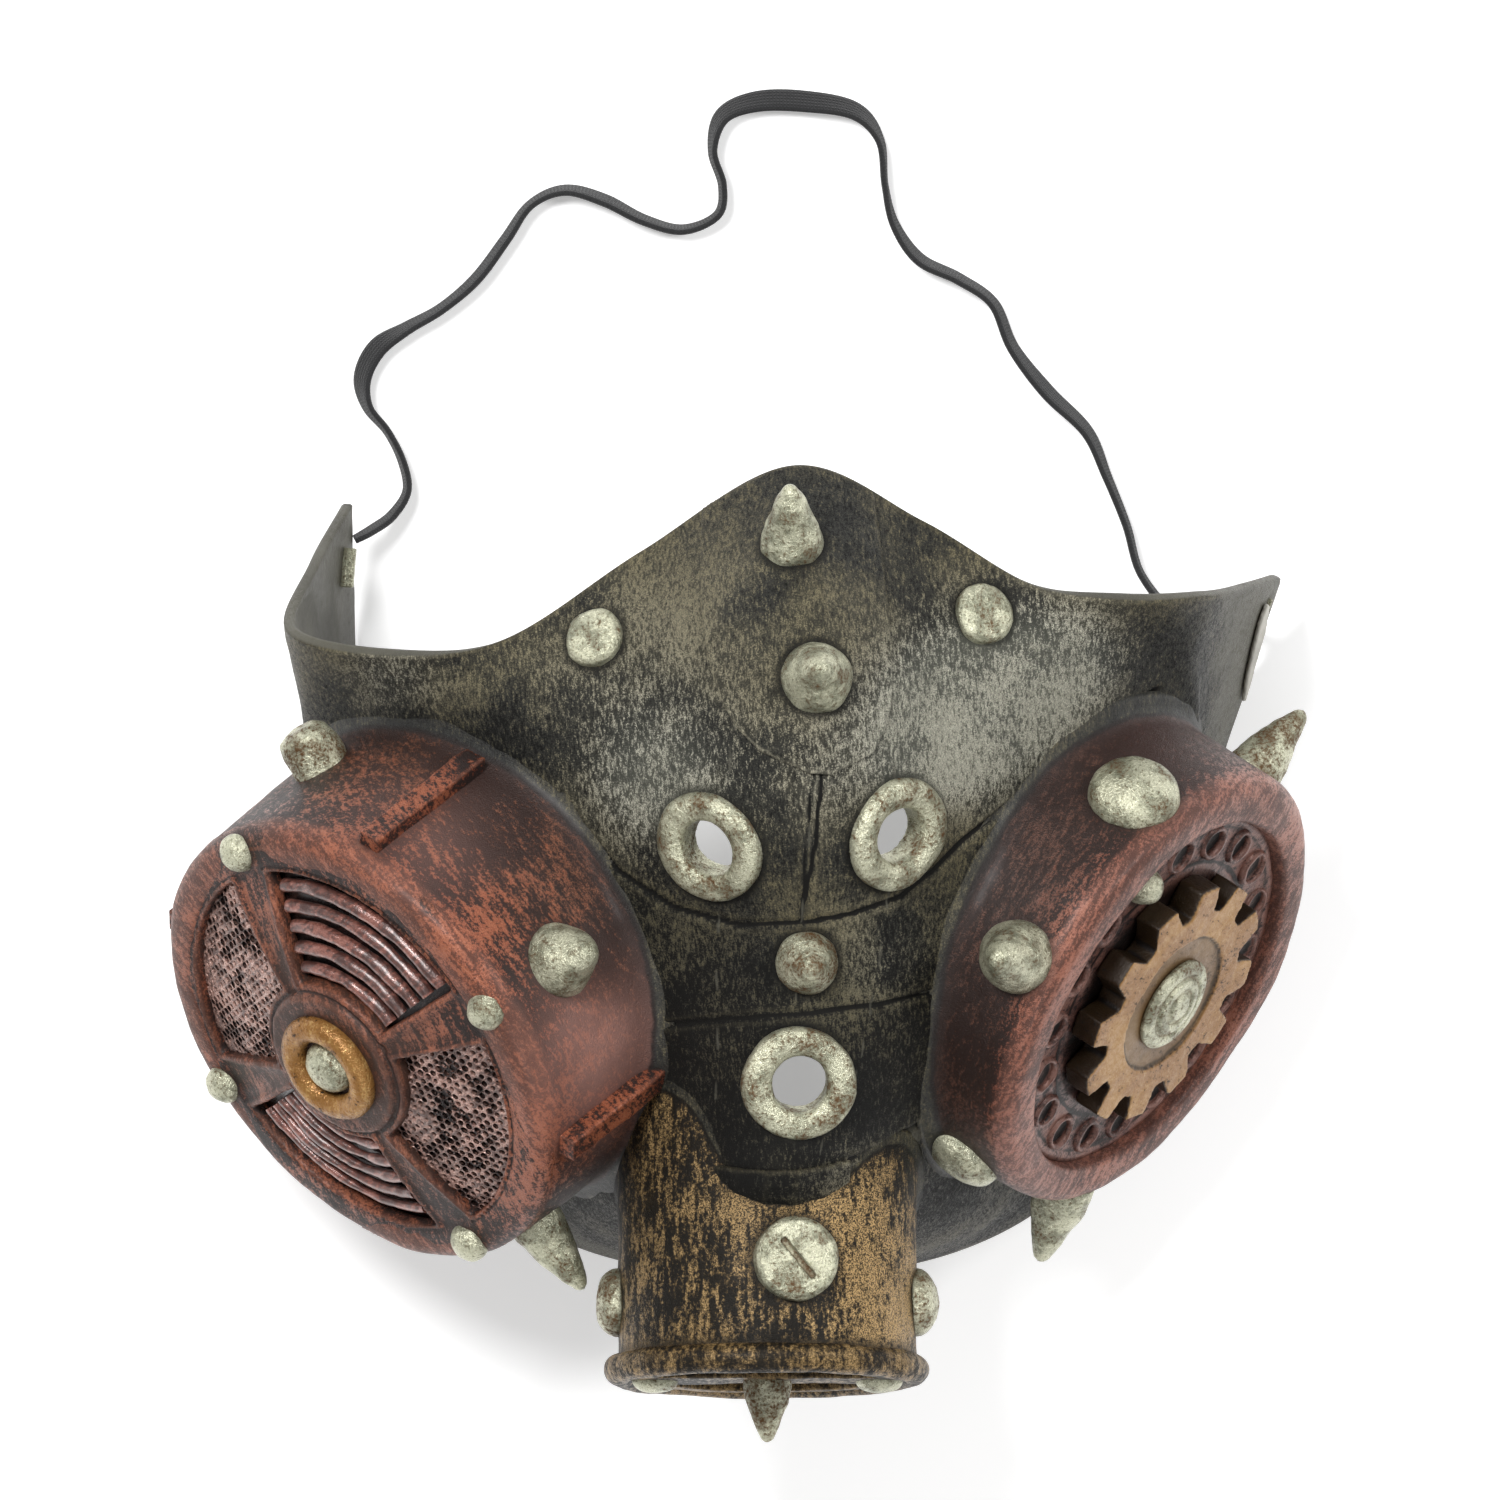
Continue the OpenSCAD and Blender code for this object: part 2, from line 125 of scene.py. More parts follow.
def markRelief(obj, rounds=8, height=0.25):
    # above 0 on edges that stand proud and get rubbed, below 0 in hollows where dark wash stays
    mesh = obj.data
    edges = np.empty(len(mesh.edges) * 2, np.int32)
    mesh.edges.foreach_get("vertices", edges)
    points = readPoints(mesh)
    low = smoothed(points, edges.reshape(-1, 2), rounds)
    proud = np.einsum("ij,ij->i", points - low, readNormals(mesh)) / (height * mm)
    setMark(obj, "relief", np.clip(proud, -1, 1))


def markContact(obj, nodes, near=0.25, far=2.0):
    # 1 where another piece stands on the skin, fading out with distance; materials darken there as painted
    # contact shade
    points = readPoints(obj.data)
    total = np.zeros(len(points))
    for node in nodes:
        other = frame["nodes"][node].data
        around = readPoints(other)
        low, high = around.min(0) - far * mm, around.max(0) + far * mm
        close = np.flatnonzero(((points > low) & (points < high)).all(1))
        if not len(close):
            continue
        tree = BVHTree.FromPolygons(around.tolist(), [list(p.vertices) for p in other.polygons])
        for k in close:
            hit = tree.find_nearest(Vector(points[k]), far * mm)
            if hit[0] is not None:
                total[k] = max(total[k], 1 - float(step(near, far, hit[3] / mm)))
    setMark(obj, "contactShade", total)


def applyModifiers(obj):
    graph = bpy.context.evaluated_depsgraph_get()
    mesh = bpy.data.meshes.new_from_object(obj.evaluated_get(graph))
    obj.modifiers.clear()
    obj.data = mesh


def shadeSmooth(obj):
    obj.data.polygons.foreach_set("use_smooth", [True] * len(obj.data.polygons))
    obj.data.update()


def finishPiece(obj, body, material, slotName, *nodes):
    if material is not None:
        obj.data.materials.clear()
        obj.data.materials.append(material)
    shadeSmooth(obj)
    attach(obj, body)
    if nodes:
        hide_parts(*nodes)


def camelName(node):
    words = node.split("_")
    return words[0] + "".join(word.capitalize() for word in words[1:])


def faceFrame(place, tilt, turn):
    return (Matrix.Translation(Vector(place) * mm) @ Matrix.Rotation(math.radians(turn), 4, "Z")
            @ Matrix.Rotation(math.radians(tilt), 4, "Y"))


def toWorld(matrix, points):
    m = np.array(matrix)
    return np.asarray(points, float) * mm @ m[:3, :3].T + m[:3, 3]


def toLocal(matrix, points):
    m = np.array(matrix.inverted())
    return (np.asarray(points, float) @ m[:3, :3].T + m[:3, 3]) / mm


def softCopy(node, name, look, seed=1.0):
    # a moulded version of a CAD node: rounded edges and a slightly uneven skin
    mesh = frame["nodes"][node].data.copy()
    mesh.materials.clear()
    obj = addObject(name, mesh)
    bm = bmesh.new()
    bm.from_mesh(mesh)
    bmesh.ops.remove_doubles(bm, verts=bm.verts, dist=1e-6)
    bm.to_mesh(mesh)
    bm.free()
    remesh = obj.modifiers.new("skin", "REMESH")
    remesh.mode = "VOXEL"
    remesh.voxel_size = look["voxel"] * mm
    remesh.adaptivity = 0
    soften = obj.modifiers.new("soften", "SMOOTH")
    soften.factor = 0.5
    soften.iterations = look["soft"]
    applyModifiers(obj)
    roughen(obj, look["lumps"], seed)
    return obj


# camera, floor and light
view = {"middle": (2.3, 41.0), "height": 5000, "wide": 300, "level": 75}
camera = bpy.data.cameras.new("camera")
camera.lens = camera.sensor_width * (view["height"] - view["level"]) / view["wide"]
camera.clip_end = 50
cameraObject = addObject("camera", camera)
cameraObject.location = (view["middle"][0] * mm, view["middle"][1] * mm, view["height"] * mm)
scene.camera = cameraObject

floorMesh = bpy.data.meshes.new("floor")
floorMesh.from_pydata([(-6, -6, 0), (6, -6, 0), (6, 6, 0), (-6, 6, 0)], [], [(0, 1, 2, 3)])
floor = addObject("floor", floorMesh)
floorPaint = bpy.data.materials.new("floorPaint")
floorPaint.use_nodes = True
floorShader = floorPaint.node_tree.nodes["Principled BSDF"]
floorShader.inputs["Base Color"].default_value = (0.93, 0.93, 0.93, 1)
floorShader.inputs["Roughness"].default_value = 0.9
floorShader.inputs["Emission Color"].default_value = (1, 1, 1, 1)
floorShader.inputs["Emission Strength"].default_value = 0.34
floorMesh.materials.append(floorPaint)

# name, place, aim, size and power of each soft box
softBoxes = [
    ("keyLight", (-0.45, 0.5, 1.35), (0, 0.02, 0.06), 0.45, 19),
    ("sideLight", (0.95, 0.35, 1.0), (0.02, 0, 0.06), 0.35, 8),
    ("frontLight", (0.1, -1.0, 1.1), (0, 0, 0.06), 0.5, 4),
]
for name, place, aim, size, power in softBoxes:
    light = bpy.data.lights.new(name, "AREA")
    light.shape = "DISK"
    light.size = size
    light.energy = power
    lightObject = addObject(name, light)
    lightObject.location = place
    lightObject.rotation_euler = (Vector(aim) - Vector(place)).to_track_quat("-Z", "Y").to_euler()
world = bpy.data.worlds.new("room")
world.use_nodes = True
world.node_tree.nodes["Background"].inputs["Color"].default_value = (1, 1, 1, 1)
world.node_tree.nodes["Background"].inputs["Strength"].default_value = 0.3
scene.world = world
print("stage: camera and light set")

# node tools for the finishes


def groupOf(name, inputs, outputs):
    tree = bpy.data.node_groups.new(name, "ShaderNodeTree")
    kinds = {"value": "NodeSocketFloat", "colour": "NodeSocketColor", "vector": "NodeSocketVector"}
    for label, kind, value in inputs:
        socket = tree.interface.new_socket(name=label, in_out="INPUT", socket_type=kinds[kind])
        if value is not None:
            socket.default_value = value
    for label, kind in outputs:
        tree.interface.new_socket(name=label, in_out="OUTPUT", socket_type=kinds[kind])
    return tree, tree.nodes.new("NodeGroupInput"), tree.nodes.new("NodeGroupOutput")


def feed(tree, socket, value):
    if isinstance(value, bpy.types.NodeSocket):
        tree.links.new(value, socket)
    elif isinstance(value, tuple) and len(value) == 3 and socket.type == "RGBA":
        socket.default_value = (*value, 1)
    else:
        socket.default_value = value


def calc(tree, kind, a, b=0.0, clamp=False):
    node = tree.nodes.new("ShaderNodeMath")
    node.operation = kind
    node.use_clamp = clamp
    feed(tree, node.inputs[0], a)
    feed(tree, node.inputs[1], b)
    return node.outputs[0]


def ramp(tree, value, low, high, start=0.0, end=1.0):
    node = tree.nodes.new("ShaderNodeMapRange")
    node.interpolation_type = "SMOOTHSTEP"
    for label, v in (("Value", value), ("From Min", low), ("From Max", high), ("To Min", start),
                     ("To Max", end)):
        feed(tree, node.inputs[label], v)
    return node.outputs[0]


def blendOf(tree, amount, a, b, kind="MIX"):
    node = tree.nodes.new("ShaderNodeMix")
    node.data_type = "RGBA"
    node.blend_type = kind
    feed(tree, node.inputs[0], amount)
    feed(tree, node.inputs[6], a)
    feed(tree, node.inputs[7], b)
    return node.outputs[2]


def grain(tree, place, scale, detail=3.0, rough=0.55):
    node = tree.nodes.new("ShaderNodeTexNoise")
    feed(tree, node.inputs["Vector"], place)
    feed(tree, node.inputs["Scale"], scale)
    node.inputs["Detail"].default_value = detail
    node.inputs["Roughness"].default_value = rough
    return node.outputs[0]


def objectPlace(tree, turn=0.0, stretch=(1, 1, 1), tilt=0.0):
    coords = tree.nodes.new("ShaderNodeTexCoord")
    mapping = tree.nodes.new("ShaderNodeMapping")
    mapping.vector_type = "TEXTURE"
    mapping.inputs["Rotation"].default_value = (math.radians(tilt), 0, math.radians(turn))
    mapping.inputs["Scale"].default_value = stretch
    tree.links.new(coords.outputs["Object"], mapping.inputs["Vector"])
    return mapping.outputs[0]


def attributeOf(tree, name):
    node = tree.nodes.new("ShaderNodeAttribute")
    node.attribute_name = name
    return node.outputs["Fac"]


def agedPaintGroup():
    # brushed paint: dark wash in the hollows, dark flecks, dry brushing on what stands proud, and painted
    # contact shade
    tree, given, out = groupOf("agedPaint", [
        ("Along", "vector", None), ("Base", "colour", None), ("Shade", "colour", None),
        ("Wash", "colour", None),
        ("Dry", "colour", None), ("Relief", "value", 0), ("Contact Shade", "value", 0),
        ("Wash Amount", "value", 0.5),
        ("Dry Amount", "value", 0.5), ("Grain Scale", "value", 900), ("Patch Scale", "value", 60),
        ("Sheen", "value", 0.35)],
        [("Color", "colour"), ("Roughness", "value"), ("Height", "value")])
    i = given.outputs
    straight = objectPlace(tree)
    strokes = grain(tree, i["Along"], i["Grain Scale"], 5, 0.66)
    specks = grain(tree, straight, calc(tree, "MULTIPLY", i["Grain Scale"], 1.7), 3, 0.66)
    fine = grain(tree, straight, calc(tree, "MULTIPLY", i["Grain Scale"], 4.2), 1, 0.5)
    patches = grain(tree, straight, i["Patch Scale"], 5, 0.62)
    hollow = ramp(tree, calc(tree, "MULTIPLY", i["Relief"], -1), 0.03, 0.5)
    proud = ramp(tree, i["Relief"], 0.08, 0.75)
    # painted contact shade: the wash colour round the foot of pieces standing on this surface
    near = calc(tree, "MULTIPLY", i["Contact Shade"], ramp(tree, strokes, 0.3, 0.62, 1.0, 0.72))
    base = blendOf(tree, ramp(tree, patches, 0.4, 0.6), i["Base"], i["Shade"])
    mixed = calc(tree, "ADD", calc(tree, "MULTIPLY", strokes, 0.5), calc(tree, "ADD", calc(
        tree, "MULTIPLY", specks, 0.35), calc(tree, "MULTIPLY", fine, 0.15)))
    uneven = calc(tree, "MULTIPLY", calc(tree, "SUBTRACT", patches, 0.5), 0.34)
    deep = calc(tree, "ADD", calc(tree, "ADD", mixed, uneven), calc(tree, "MULTIPLY", i["Wash Amount"], 0.26))
    washed = ramp(tree, deep, 0.56, 0.64)
    washed = calc(tree, "MULTIPLY", washed, calc(tree, "SUBTRACT", 1.0, calc(tree, "MULTIPLY", proud, 0.3)))
    washMask = calc(tree, "MAXIMUM", calc(tree, "MAXIMUM", washed, hollow), near)
    worn = blendOf(tree, calc(tree, "MULTIPLY", washMask, 0.95), base, i["Wash"])
    ground = calc(tree, "SUBTRACT", calc(tree, "SUBTRACT", 1.0, mixed), uneven)
    flecks = calc(tree, "ADD", ground, calc(tree, "MULTIPLY", i["Dry Amount"], 0.11))
    dryBrush = calc(tree, "MULTIPLY", ramp(tree, flecks, 0.535, 0.62), ramp(tree, fine, 0.38, 0.6, 0.05, 1.0))
    bare = calc(tree, "SUBTRACT", 1.0, calc(tree, "MAXIMUM", hollow, near))
    dryBrush = calc(tree, "MULTIPLY", dryBrush, bare)
    edge = calc(tree, "MULTIPLY", proud, ramp(tree, mixed, 0.38, 0.56, 0.62, 0.1))
    strength = calc(tree, "MULTIPLY", i["Dry Amount"], 1.4, True)
    dryMask = calc(tree, "MULTIPLY", calc(tree, "MAXIMUM", dryBrush, edge), strength, True)
    feed(tree, out.inputs["Color"], blendOf(tree, dryMask, worn, i["Dry"]))
    rough = calc(tree, "ADD", i["Sheen"], calc(tree, "MULTIPLY", calc(tree, "SUBTRACT", mixed, 0.5), 0.6))
    feed(tree, out.inputs["Roughness"], calc(tree, "ADD", rough, calc(tree, "MULTIPLY", washMask, 0.16),
                                             True))
    feed(tree, out.inputs["Height"], calc(tree, "ADD", mixed, calc(tree, "ADD", calc(
        tree, "MULTIPLY", fine, 0.35), calc(tree, "MULTIPLY", patches, 0.5))))
    return tree


def rustedMetalGroup():
    # pale cast metal with brown stains low down and a little green in it
    tree, given, out = groupOf("rustedMetal", [
        ("Metal", "colour", None), ("Tarnish", "colour", None), ("Rust", "colour", None),
        ("Relief", "value", 0), ("Rust Amount", "value", 0.5), ("Pit Scale", "value", 700)],
        [("Color", "colour"), ("Roughness", "value"), ("Height", "value")])
    i = given.outputs
    straight = objectPlace(tree)
    pits = grain(tree, straight, i["Pit Scale"], 4, 0.65)
    blotches = grain(tree, straight, 190, 5, 0.66)
    streaks = grain(tree, objectPlace(tree, 12, (1, 2.6, 1.6)), 560, 3, 0.6)
    hollow = ramp(tree, calc(tree, "MULTIPLY", i["Relief"], -1), 0.02, 0.6)
    proud = ramp(tree, i["Relief"], 0.1, 0.8)
    base = blendOf(tree, ramp(tree, blotches, 0.4, 0.62), i["Metal"], i["Tarnish"])
    spread = calc(tree, "ADD", calc(tree, "ADD", calc(tree, "MULTIPLY", blotches, 0.4), calc(
        tree, "ADD", calc(tree, "MULTIPLY", streaks, 0.25), calc(tree, "MULTIPLY", pits, 0.35))),
        calc(tree, "MULTIPLY", i["Rust Amount"], 0.15))
    rust = calc(tree, "MAXIMUM", ramp(tree, spread, 0.55, 0.72), calc(tree, "MULTIPLY", hollow, 0.95))
    rust = calc(tree, "MULTIPLY", rust, ramp(tree, pits, 0.3, 0.6, 0.5, 1.0))
    rust = calc(tree, "MULTIPLY", rust, calc(tree, "SUBTRACT", 1.0, calc(tree, "MULTIPLY", proud, 0.7)))
    dark = blendOf(tree, calc(tree, "MULTIPLY", ramp(tree, pits, 0.5, 0.68), 0.75), base, i["Tarnish"],
                   "MULTIPLY")
    feed(tree, out.inputs["Color"], blendOf(tree, rust, dark, i["Rust"]))
    feed(tree, out.inputs["Roughness"], calc(tree, "ADD", ramp(tree, rust, 0, 1, 0.3, 0.68),
                                             calc(tree, "MULTIPLY", calc(tree, "SUBTRACT", pits, 0.5), 0.3),
                                             True))
    feed(tree, out.inputs["Height"], calc(tree, "ADD", pits, calc(tree, "MULTIPLY", blotches, 0.7)))
    return tree


paintGroup = agedPaintGroup()
metalGroup = rustedMetalGroup()


def newMaterial(name):
    material = bpy.data.materials.new(name)
    material.use_nodes = True
    return material, material.node_tree, material.node_tree.nodes["Principled BSDF"]


def placeGroup(tree, group, values):
    node = tree.nodes.new("ShaderNodeGroup")
    node.node_tree = group
    for label, value in values.items():
        feed(tree, node.inputs[label], value)
    return node


def bumpFrom(tree, shader, height, distance, strength=1.0):
    bump = tree.nodes.new("ShaderNodeBump")
    bump.inputs["Strength"].default_value = strength
    bump.inputs["Distance"].default_value = distance * mm
    tree.links.new(height, bump.inputs["Height"])
    tree.links.new(bump.outputs[0], shader.inputs["Normal"])


def paintMaterial(name, look):
    material, tree, shader = newMaterial(name)
    values = dict(look["paint"])
    values["Relief"] = attributeOf(tree, "relief")
    # painted contact shade round the pieces that stand on this surface
    values["Contact Shade"] = attributeOf(tree, "contactShade")
    values["Along"] = objectPlace(tree, *look.get("stroke", (38, (3, 1, 2))))
    for label, mark, amount in look.get("driven", []):
        share = calc(tree, "MULTIPLY", attributeOf(tree, mark), amount)
        values[label] = calc(tree, "ADD", values[label], share)
    node = placeGroup(tree, paintGroup, values)
    colour, rough = node.outputs["Color"], node.outputs["Roughness"]
    for mark, tint, amount, kept in look.get("tints", []):
        share = calc(tree, "MULTIPLY", attributeOf(tree, mark), amount, True)
        colour = blendOf(tree, share, colour, blendOf(tree, kept, tint, colour))
    if "below" in look:
        # the neighbour's paint takes over across the fillet, past a dark crease
        mark, other = look["below"]
        share = calc(tree, "ADD", attributeOf(tree, mark), calc(tree, "MULTIPLY", calc(
            tree, "SUBTRACT", grain(tree, values["Along"], 300, 4), 0.5), 0.5))
        lower = dict(other["paint"], Relief=values["Relief"], Along=objectPlace(tree, *other["stroke"]))
        lower["Contact Shade"] = values["Contact Shade"]
        second = placeGroup(tree, paintGroup, lower)
        colour = blendOf(tree, ramp(tree, share, 0.3, 0.42), colour, second.outputs["Color"])
        crease = calc(tree, "MULTIPLY", ramp(tree, share, 0.12, 0.3), ramp(tree, share, 0.36, 0.55, 1.0, 0.0))
        colour = blendOf(tree, calc(tree, "MULTIPLY", crease, 0.92), colour, look["paint"]["Wash"])
    tree.links.new(colour, shader.inputs["Base Color"])
    tree.links.new(rough, shader.inputs["Roughness"])
    bumpFrom(tree, shader, node.outputs["Height"], look["bump"])
    shader.inputs["Metallic"].default_value = look["metal"]
    shader.inputs["Specular IOR Level"].default_value = look["gloss"]
    shader.inputs["Coat Weight"].default_value = look.get("coat", 0.0)
    shader.inputs["Coat Roughness"].default_value = 0.32
    return material


pewterLook = {"metal": (0.56, 0.555, 0.41), "tarnish": (0.25, 0.255, 0.18), "rust": (0.115, 0.058, 0.022),
              "stain": 0.42, "rustyStain": 0.8, "pits": 1500}


def pewterMaterial(name, stain):
    material, tree, shader = newMaterial(name)
    node = placeGroup(tree, metalGroup, {
        "Metal": pewterLook["metal"], "Tarnish": pewterLook["tarnish"], "Rust": pewterLook["rust"],
        "Relief": attributeOf(tree, "relief"), "Rust Amount": stain, "Pit Scale": pewterLook["pits"]})
    tree.links.new(node.outputs["Color"], shader.inputs["Base Color"])
    tree.links.new(node.outputs["Roughness"], shader.inputs["Roughness"])
    bumpFrom(tree, shader, node.outputs["Height"], 0.35)
    shader.inputs["Metallic"].default_value = 0.55
    return material


# elastic strap: flat, limp, standing mostly on its edge on the floor
strapLook = {
    "width": 6.0, "thick": 1.4, "ribs": 7, "ribDepth": 0.09, "perPoint": 10,
    "route": [
        (-80.5, 83, 13), (-77, 85, 10), (-73, 88, 6), (-70, 93, 4), (-71, 99, 3), (-74, 105, 3),
        (-78, 110, 3), (-79, 116, 3), (-76, 122, 3), (-70, 126, 3), (-63, 130, 3), (-56, 136, 3),
        (-50, 144, 3), (-45, 151, 3), (-38, 154, 3), (-30, 152, 3), (-22, 148, 3), (-14, 146, 3),
        (-7, 149, 3), (-6, 155, 3), (-8, 162, 3), (-6, 169, 3), (1, 172, 3), (11, 172, 3), (21, 170, 3),
        (26, 164, 3), (27, 155, 3), (29, 147, 3), (34, 140, 3), (42, 136, 3), (49, 131, 3), (53, 122, 3),
        (60, 113, 3), (68, 105, 3), (72, 96, 3), (76, 86, 3), (79, 76, 4), (86, 68, 7), (95, 66, 10),
        (101.5, 67, 12.5)],
    # how far the strap leans over at each point of its route, in degrees from standing on edge
    "lean": [
        10, 14, 14, 10, 8, 6, 14, 34, 40, 22, 16, 18, 16, 12, 16, 20, 16, 14, 10, 8, 10, 30, 44, 46, 34,
        10, 2, 12, 20, 18, 16, 18, 26, 20, 12, 8, 6, 10, 12, 10]}
centring = np.array((2.7, 0.6, 0.0))


def smoothLine(points, per):
    points = np.asarray(points, float)
    padded = np.vstack([2 * points[0] - points[1], points, 2 * points[-1] - points[-2]])
    out = []
    for k in range(len(points) - 1):
        a, b, c, d = padded[k:k + 4]
        for t in np.arange(per) / per:
            out.append(b + 0.5 * t * (c - a + t * (2 * a - 5 * b + 4 * c - d + t * (3 * (b - c) + d - a))))
    return np.array(out + [points[-1]])


def makeStrap(look):
    line = smoothLine(np.array(look["route"]) + centring, look["perPoint"])
    lean = np.radians(smoothLine([(a, 0, 0) for a in look["lean"]], look["perPoint"])[:, 0])
    half, thin = look["width"] / 2, look["thick"] / 2
    stand = half * np.cos(lean) + thin * np.sin(np.abs(lean)) + 0.05
    line[:, 2] = np.where(line[:, 2] > 3.2, line[:, 2], stand)
    ahead = np.gradient(line, axis=0)
    ahead[:, 2] = 0
    ahead /= np.linalg.norm(ahead, axis=1)[:, None]
    across = np.stack([ahead[:, 1], -ahead[:, 0], np.zeros(len(line))], 1)
    up = np.array((0, 0, 1.0))
    wide = up * np.cos(lean)[:, None] + across * np.sin(lean)[:, None]
    flat = across * np.cos(lean)[:, None] - up * np.sin(lean)[:, None]
    side = np.linspace(-1, 1, 29)
    grooves = look["ribDepth"] * (0.5 - 0.5 * np.cos(side * math.pi * look["ribs"]))
    crest = thin * (1 - side ** 8 * 0.75) - grooves
    outline = [(u, t) for u, t in zip(side, crest)] + [(u, -t) for u, t in zip(side[::-1], crest[::-1])]
    points = np.array([line + wide * (u * half) + flat * t for u, t in outline])
    points = points.transpose(1, 0, 2).reshape(-1, 3)
    n, rings = len(outline), len(line)
    faces = [(r * n + k, r * n + (k + 1) % n, (r + 1) * n + (k + 1) % n, (r + 1) * n + k)
             for r in range(rings - 1) for k in range(n)]
    faces += [tuple(range(n))[::-1], tuple((rings - 1) * n + k for k in range(n))]
    obj = meshOf("elasticStrap", points * mm, faces)
    run = np.concatenate([[0], np.cumsum(np.linalg.norm(np.diff(line, axis=0), axis=1))])
    setMark(obj, "run", np.repeat(run, n))
    setMark(obj, "cross", np.tile([u * half for u, _ in outline], rings))
    return obj, line * mm, float(run[-1]) * mm


def elasticMaterial():
    material, tree, shader = newMaterial("blackElastic")
    along, cross = attributeOf(tree, "run"), attributeOf(tree, "cross")
    place = tree.nodes.new("ShaderNodeCombineXYZ")
    feed(tree, place.inputs[0], calc(tree, "MULTIPLY", along, 0.9))
    feed(tree, place.inputs[1], calc(tree, "MULTIPLY", cross, 5.0))
    threads = grain(tree, place.outputs[0], 2.4, 3)
    picks = calc(tree, "SINE", calc(tree, "MULTIPLY", along, 9.0))
    cords = calc(tree, "COSINE", calc(tree, "MULTIPLY", cross, 7.33))
    weave = calc(tree, "MULTIPLY", picks, cords)
    colour = blendOf(tree, ramp(tree, threads, 0.35, 0.75), (0.006, 0.006, 0.0065), (0.028, 0.028, 0.03))
    tree.links.new(colour, shader.inputs["Base Color"])
    tree.links.new(ramp(tree, threads, 0.3, 0.8, 0.62, 0.88), shader.inputs["Roughness"])
    bumpFrom(tree, shader, calc(tree, "ADD", calc(tree, "MULTIPLY", weave, 0.35), threads), 0.09)
    shader.inputs["Sheen Weight"].default_value = 0.15
    shader.inputs["Specular IOR Level"].default_value = 0.3
    return material


strap, strapLine, strapLength = makeStrap(strapLook)
finishPiece(strap, "mask", elasticMaterial(), "elastic", "elastic_strap")
print("stage: strap", round(strapLength, 4), "m")

# latex shell, from the same net of points as the part
shellLook = {
    "wall": 2.2, "rows": 7,
    "flapLeft": [((-82, 48, 0), (-83, 90, 17)), ((-85, 36, 0), (-89, 78, 48)), ((-85, 18, 0), (-93, 64, 80))],
    "flapRight": [((90, 16, 0), (91, 71, 80)), ((94, 34, 0), (100, 73, 48)), ((99, 50, 0), (107, 75, 17))],
    "columns": [
        [(-80, -8, 0), (-84, 0, 12), (-86, 10, 25), (-86, 20, 38), (-85, 30, 50), (-83, 40, 62),
         (-79, 50, 77), (-74, 59, 92)],
        [(-66, -38, 0), (-64, -30, 20), (-57, -16, 40), (-52, 0, 60), (-50, 16, 78), (-50, 32, 93),
         (-50, 48, 101), (-50, 62, 101)],
        [(-37, -60, 0), (-34, -55, 38), (-26, -44, 74), (-22, -22, 90), (-25, 2, 99), (-25, 28, 110),
         (-24, 56, 112), (-22, 80, 102)],
        [(4, -67, 0), (4, -63, 52), (5, -51, 101), (8, -28, 110), (9, 2, 115), (10, 34, 130), (9, 68, 127),
         (8, 97, 104)],
        [(43, -61, 0), (40, -56, 38), (33, -43, 74), (36, -20, 89), (41, 4, 98), (42, 30, 107), (38, 60, 110),
         (34, 86, 102)],
        [(69, -43, 0), (62, -33, 18), (60, -18, 34), (60, -2, 52), (60, 14, 69), (61, 33, 86), (58, 54, 98),
         (56, 73, 101)],
        [(82, -12, 0), (82, -2, 8), (84, 8, 20), (85, 19, 31), (86, 30, 42), (86, 42, 54), (82, 56, 74),
         (75, 70, 95)]],
    "acrossSteps": ((0, 3.2, 40), (3.2, 8.8, 250), (8.8, 12, 40)),
    "upSteps": ((0, 1.2, 14), (1.2, 5.6, 180), (5.6, 7, 30)),
    "innerStride": 3, "holeR": 7.4,
    "standing": ["nostril_grommet_right", "nostril_grommet_left", "mouth_grommet", "nose_spike_upper",
                 "nose_spike_lower", "lip_stud", "cheek_studs", "strap_staples"],
    "lumps": [(38, 0.7), (13, 0.3), (4.5, 0.1)],
    # scored seams: line in X and Y, depth and half width
    "seams": [
        ([(16.9, 38.5), (15.2, 22), (12.4, 7.2)], 0.75, 0.5),
        ([(15.0, 38.3), (13.5, 22), (12.2, 8.5)], 0.5, 0.4),
        ([(-35, 32), (-31.7, 26.4), (-23.5, 16.8), (-12.5, 9.8), (0.1, 6.2), (12.9, 6.6), (22.5, 8.4),
          (32.1, 11.6), (38.5, 16.8), (44.3, 22.6), (56, 32), (66, 40), (76, 47.5), (84, 53)], 0.8, 0.55),
        ([(-22, -14.6), (-3.7, -12.6), (12.3, -11.4), (28, -9.6), (38, -7.2)], 0.7, 0.5),
        ([(-22, -37.4), (-12, -39.8), (-3.7, -41)], 0.7, 0.5),
        ([(22, -40.4), (28, -38.4), (37, -33.6)], 0.7, 0.5),
        ([(-36, -50), (-28, -42), (-22, -37.4)], 0.5, 0.55)],
    # patches of dry brushing with painted highlight and sheen, and of dark wash with painted shade: X, Y,
    # reach, strength
    "lit": [(-16, 33, 11, 0.85), (17, 34, 12, 0.4), (52, 53, 14, 1.1), (40, 44, 11, 0.8), (-30, 56, 18, 0.35),
            (28, 0, 10, 0.45), (70, 60, 10, 0.5), (4, 62, 24, 0.25), (-70, 56, 9, 0.6), (24, -46, 9, 0.5)],
    "deep": [(12, -30, 26, 0.8), (-28, -12, 20, 0.9), (46, -14, 16, 1.0), (-34, 8, 14, 0.6), (60, 34, 9, 0.8),
             (-48, 44, 9, 0.5), (0, -50, 30, 0.5)]}


def ghosted(net, axis):
    first = 2 * np.take(net, [0], axis) - np.take(net, [1], axis)
    last = 2 * np.take(net, [-1], axis) - np.take(net, [-2], axis)
    return np.concatenate([first, net, last], axis)


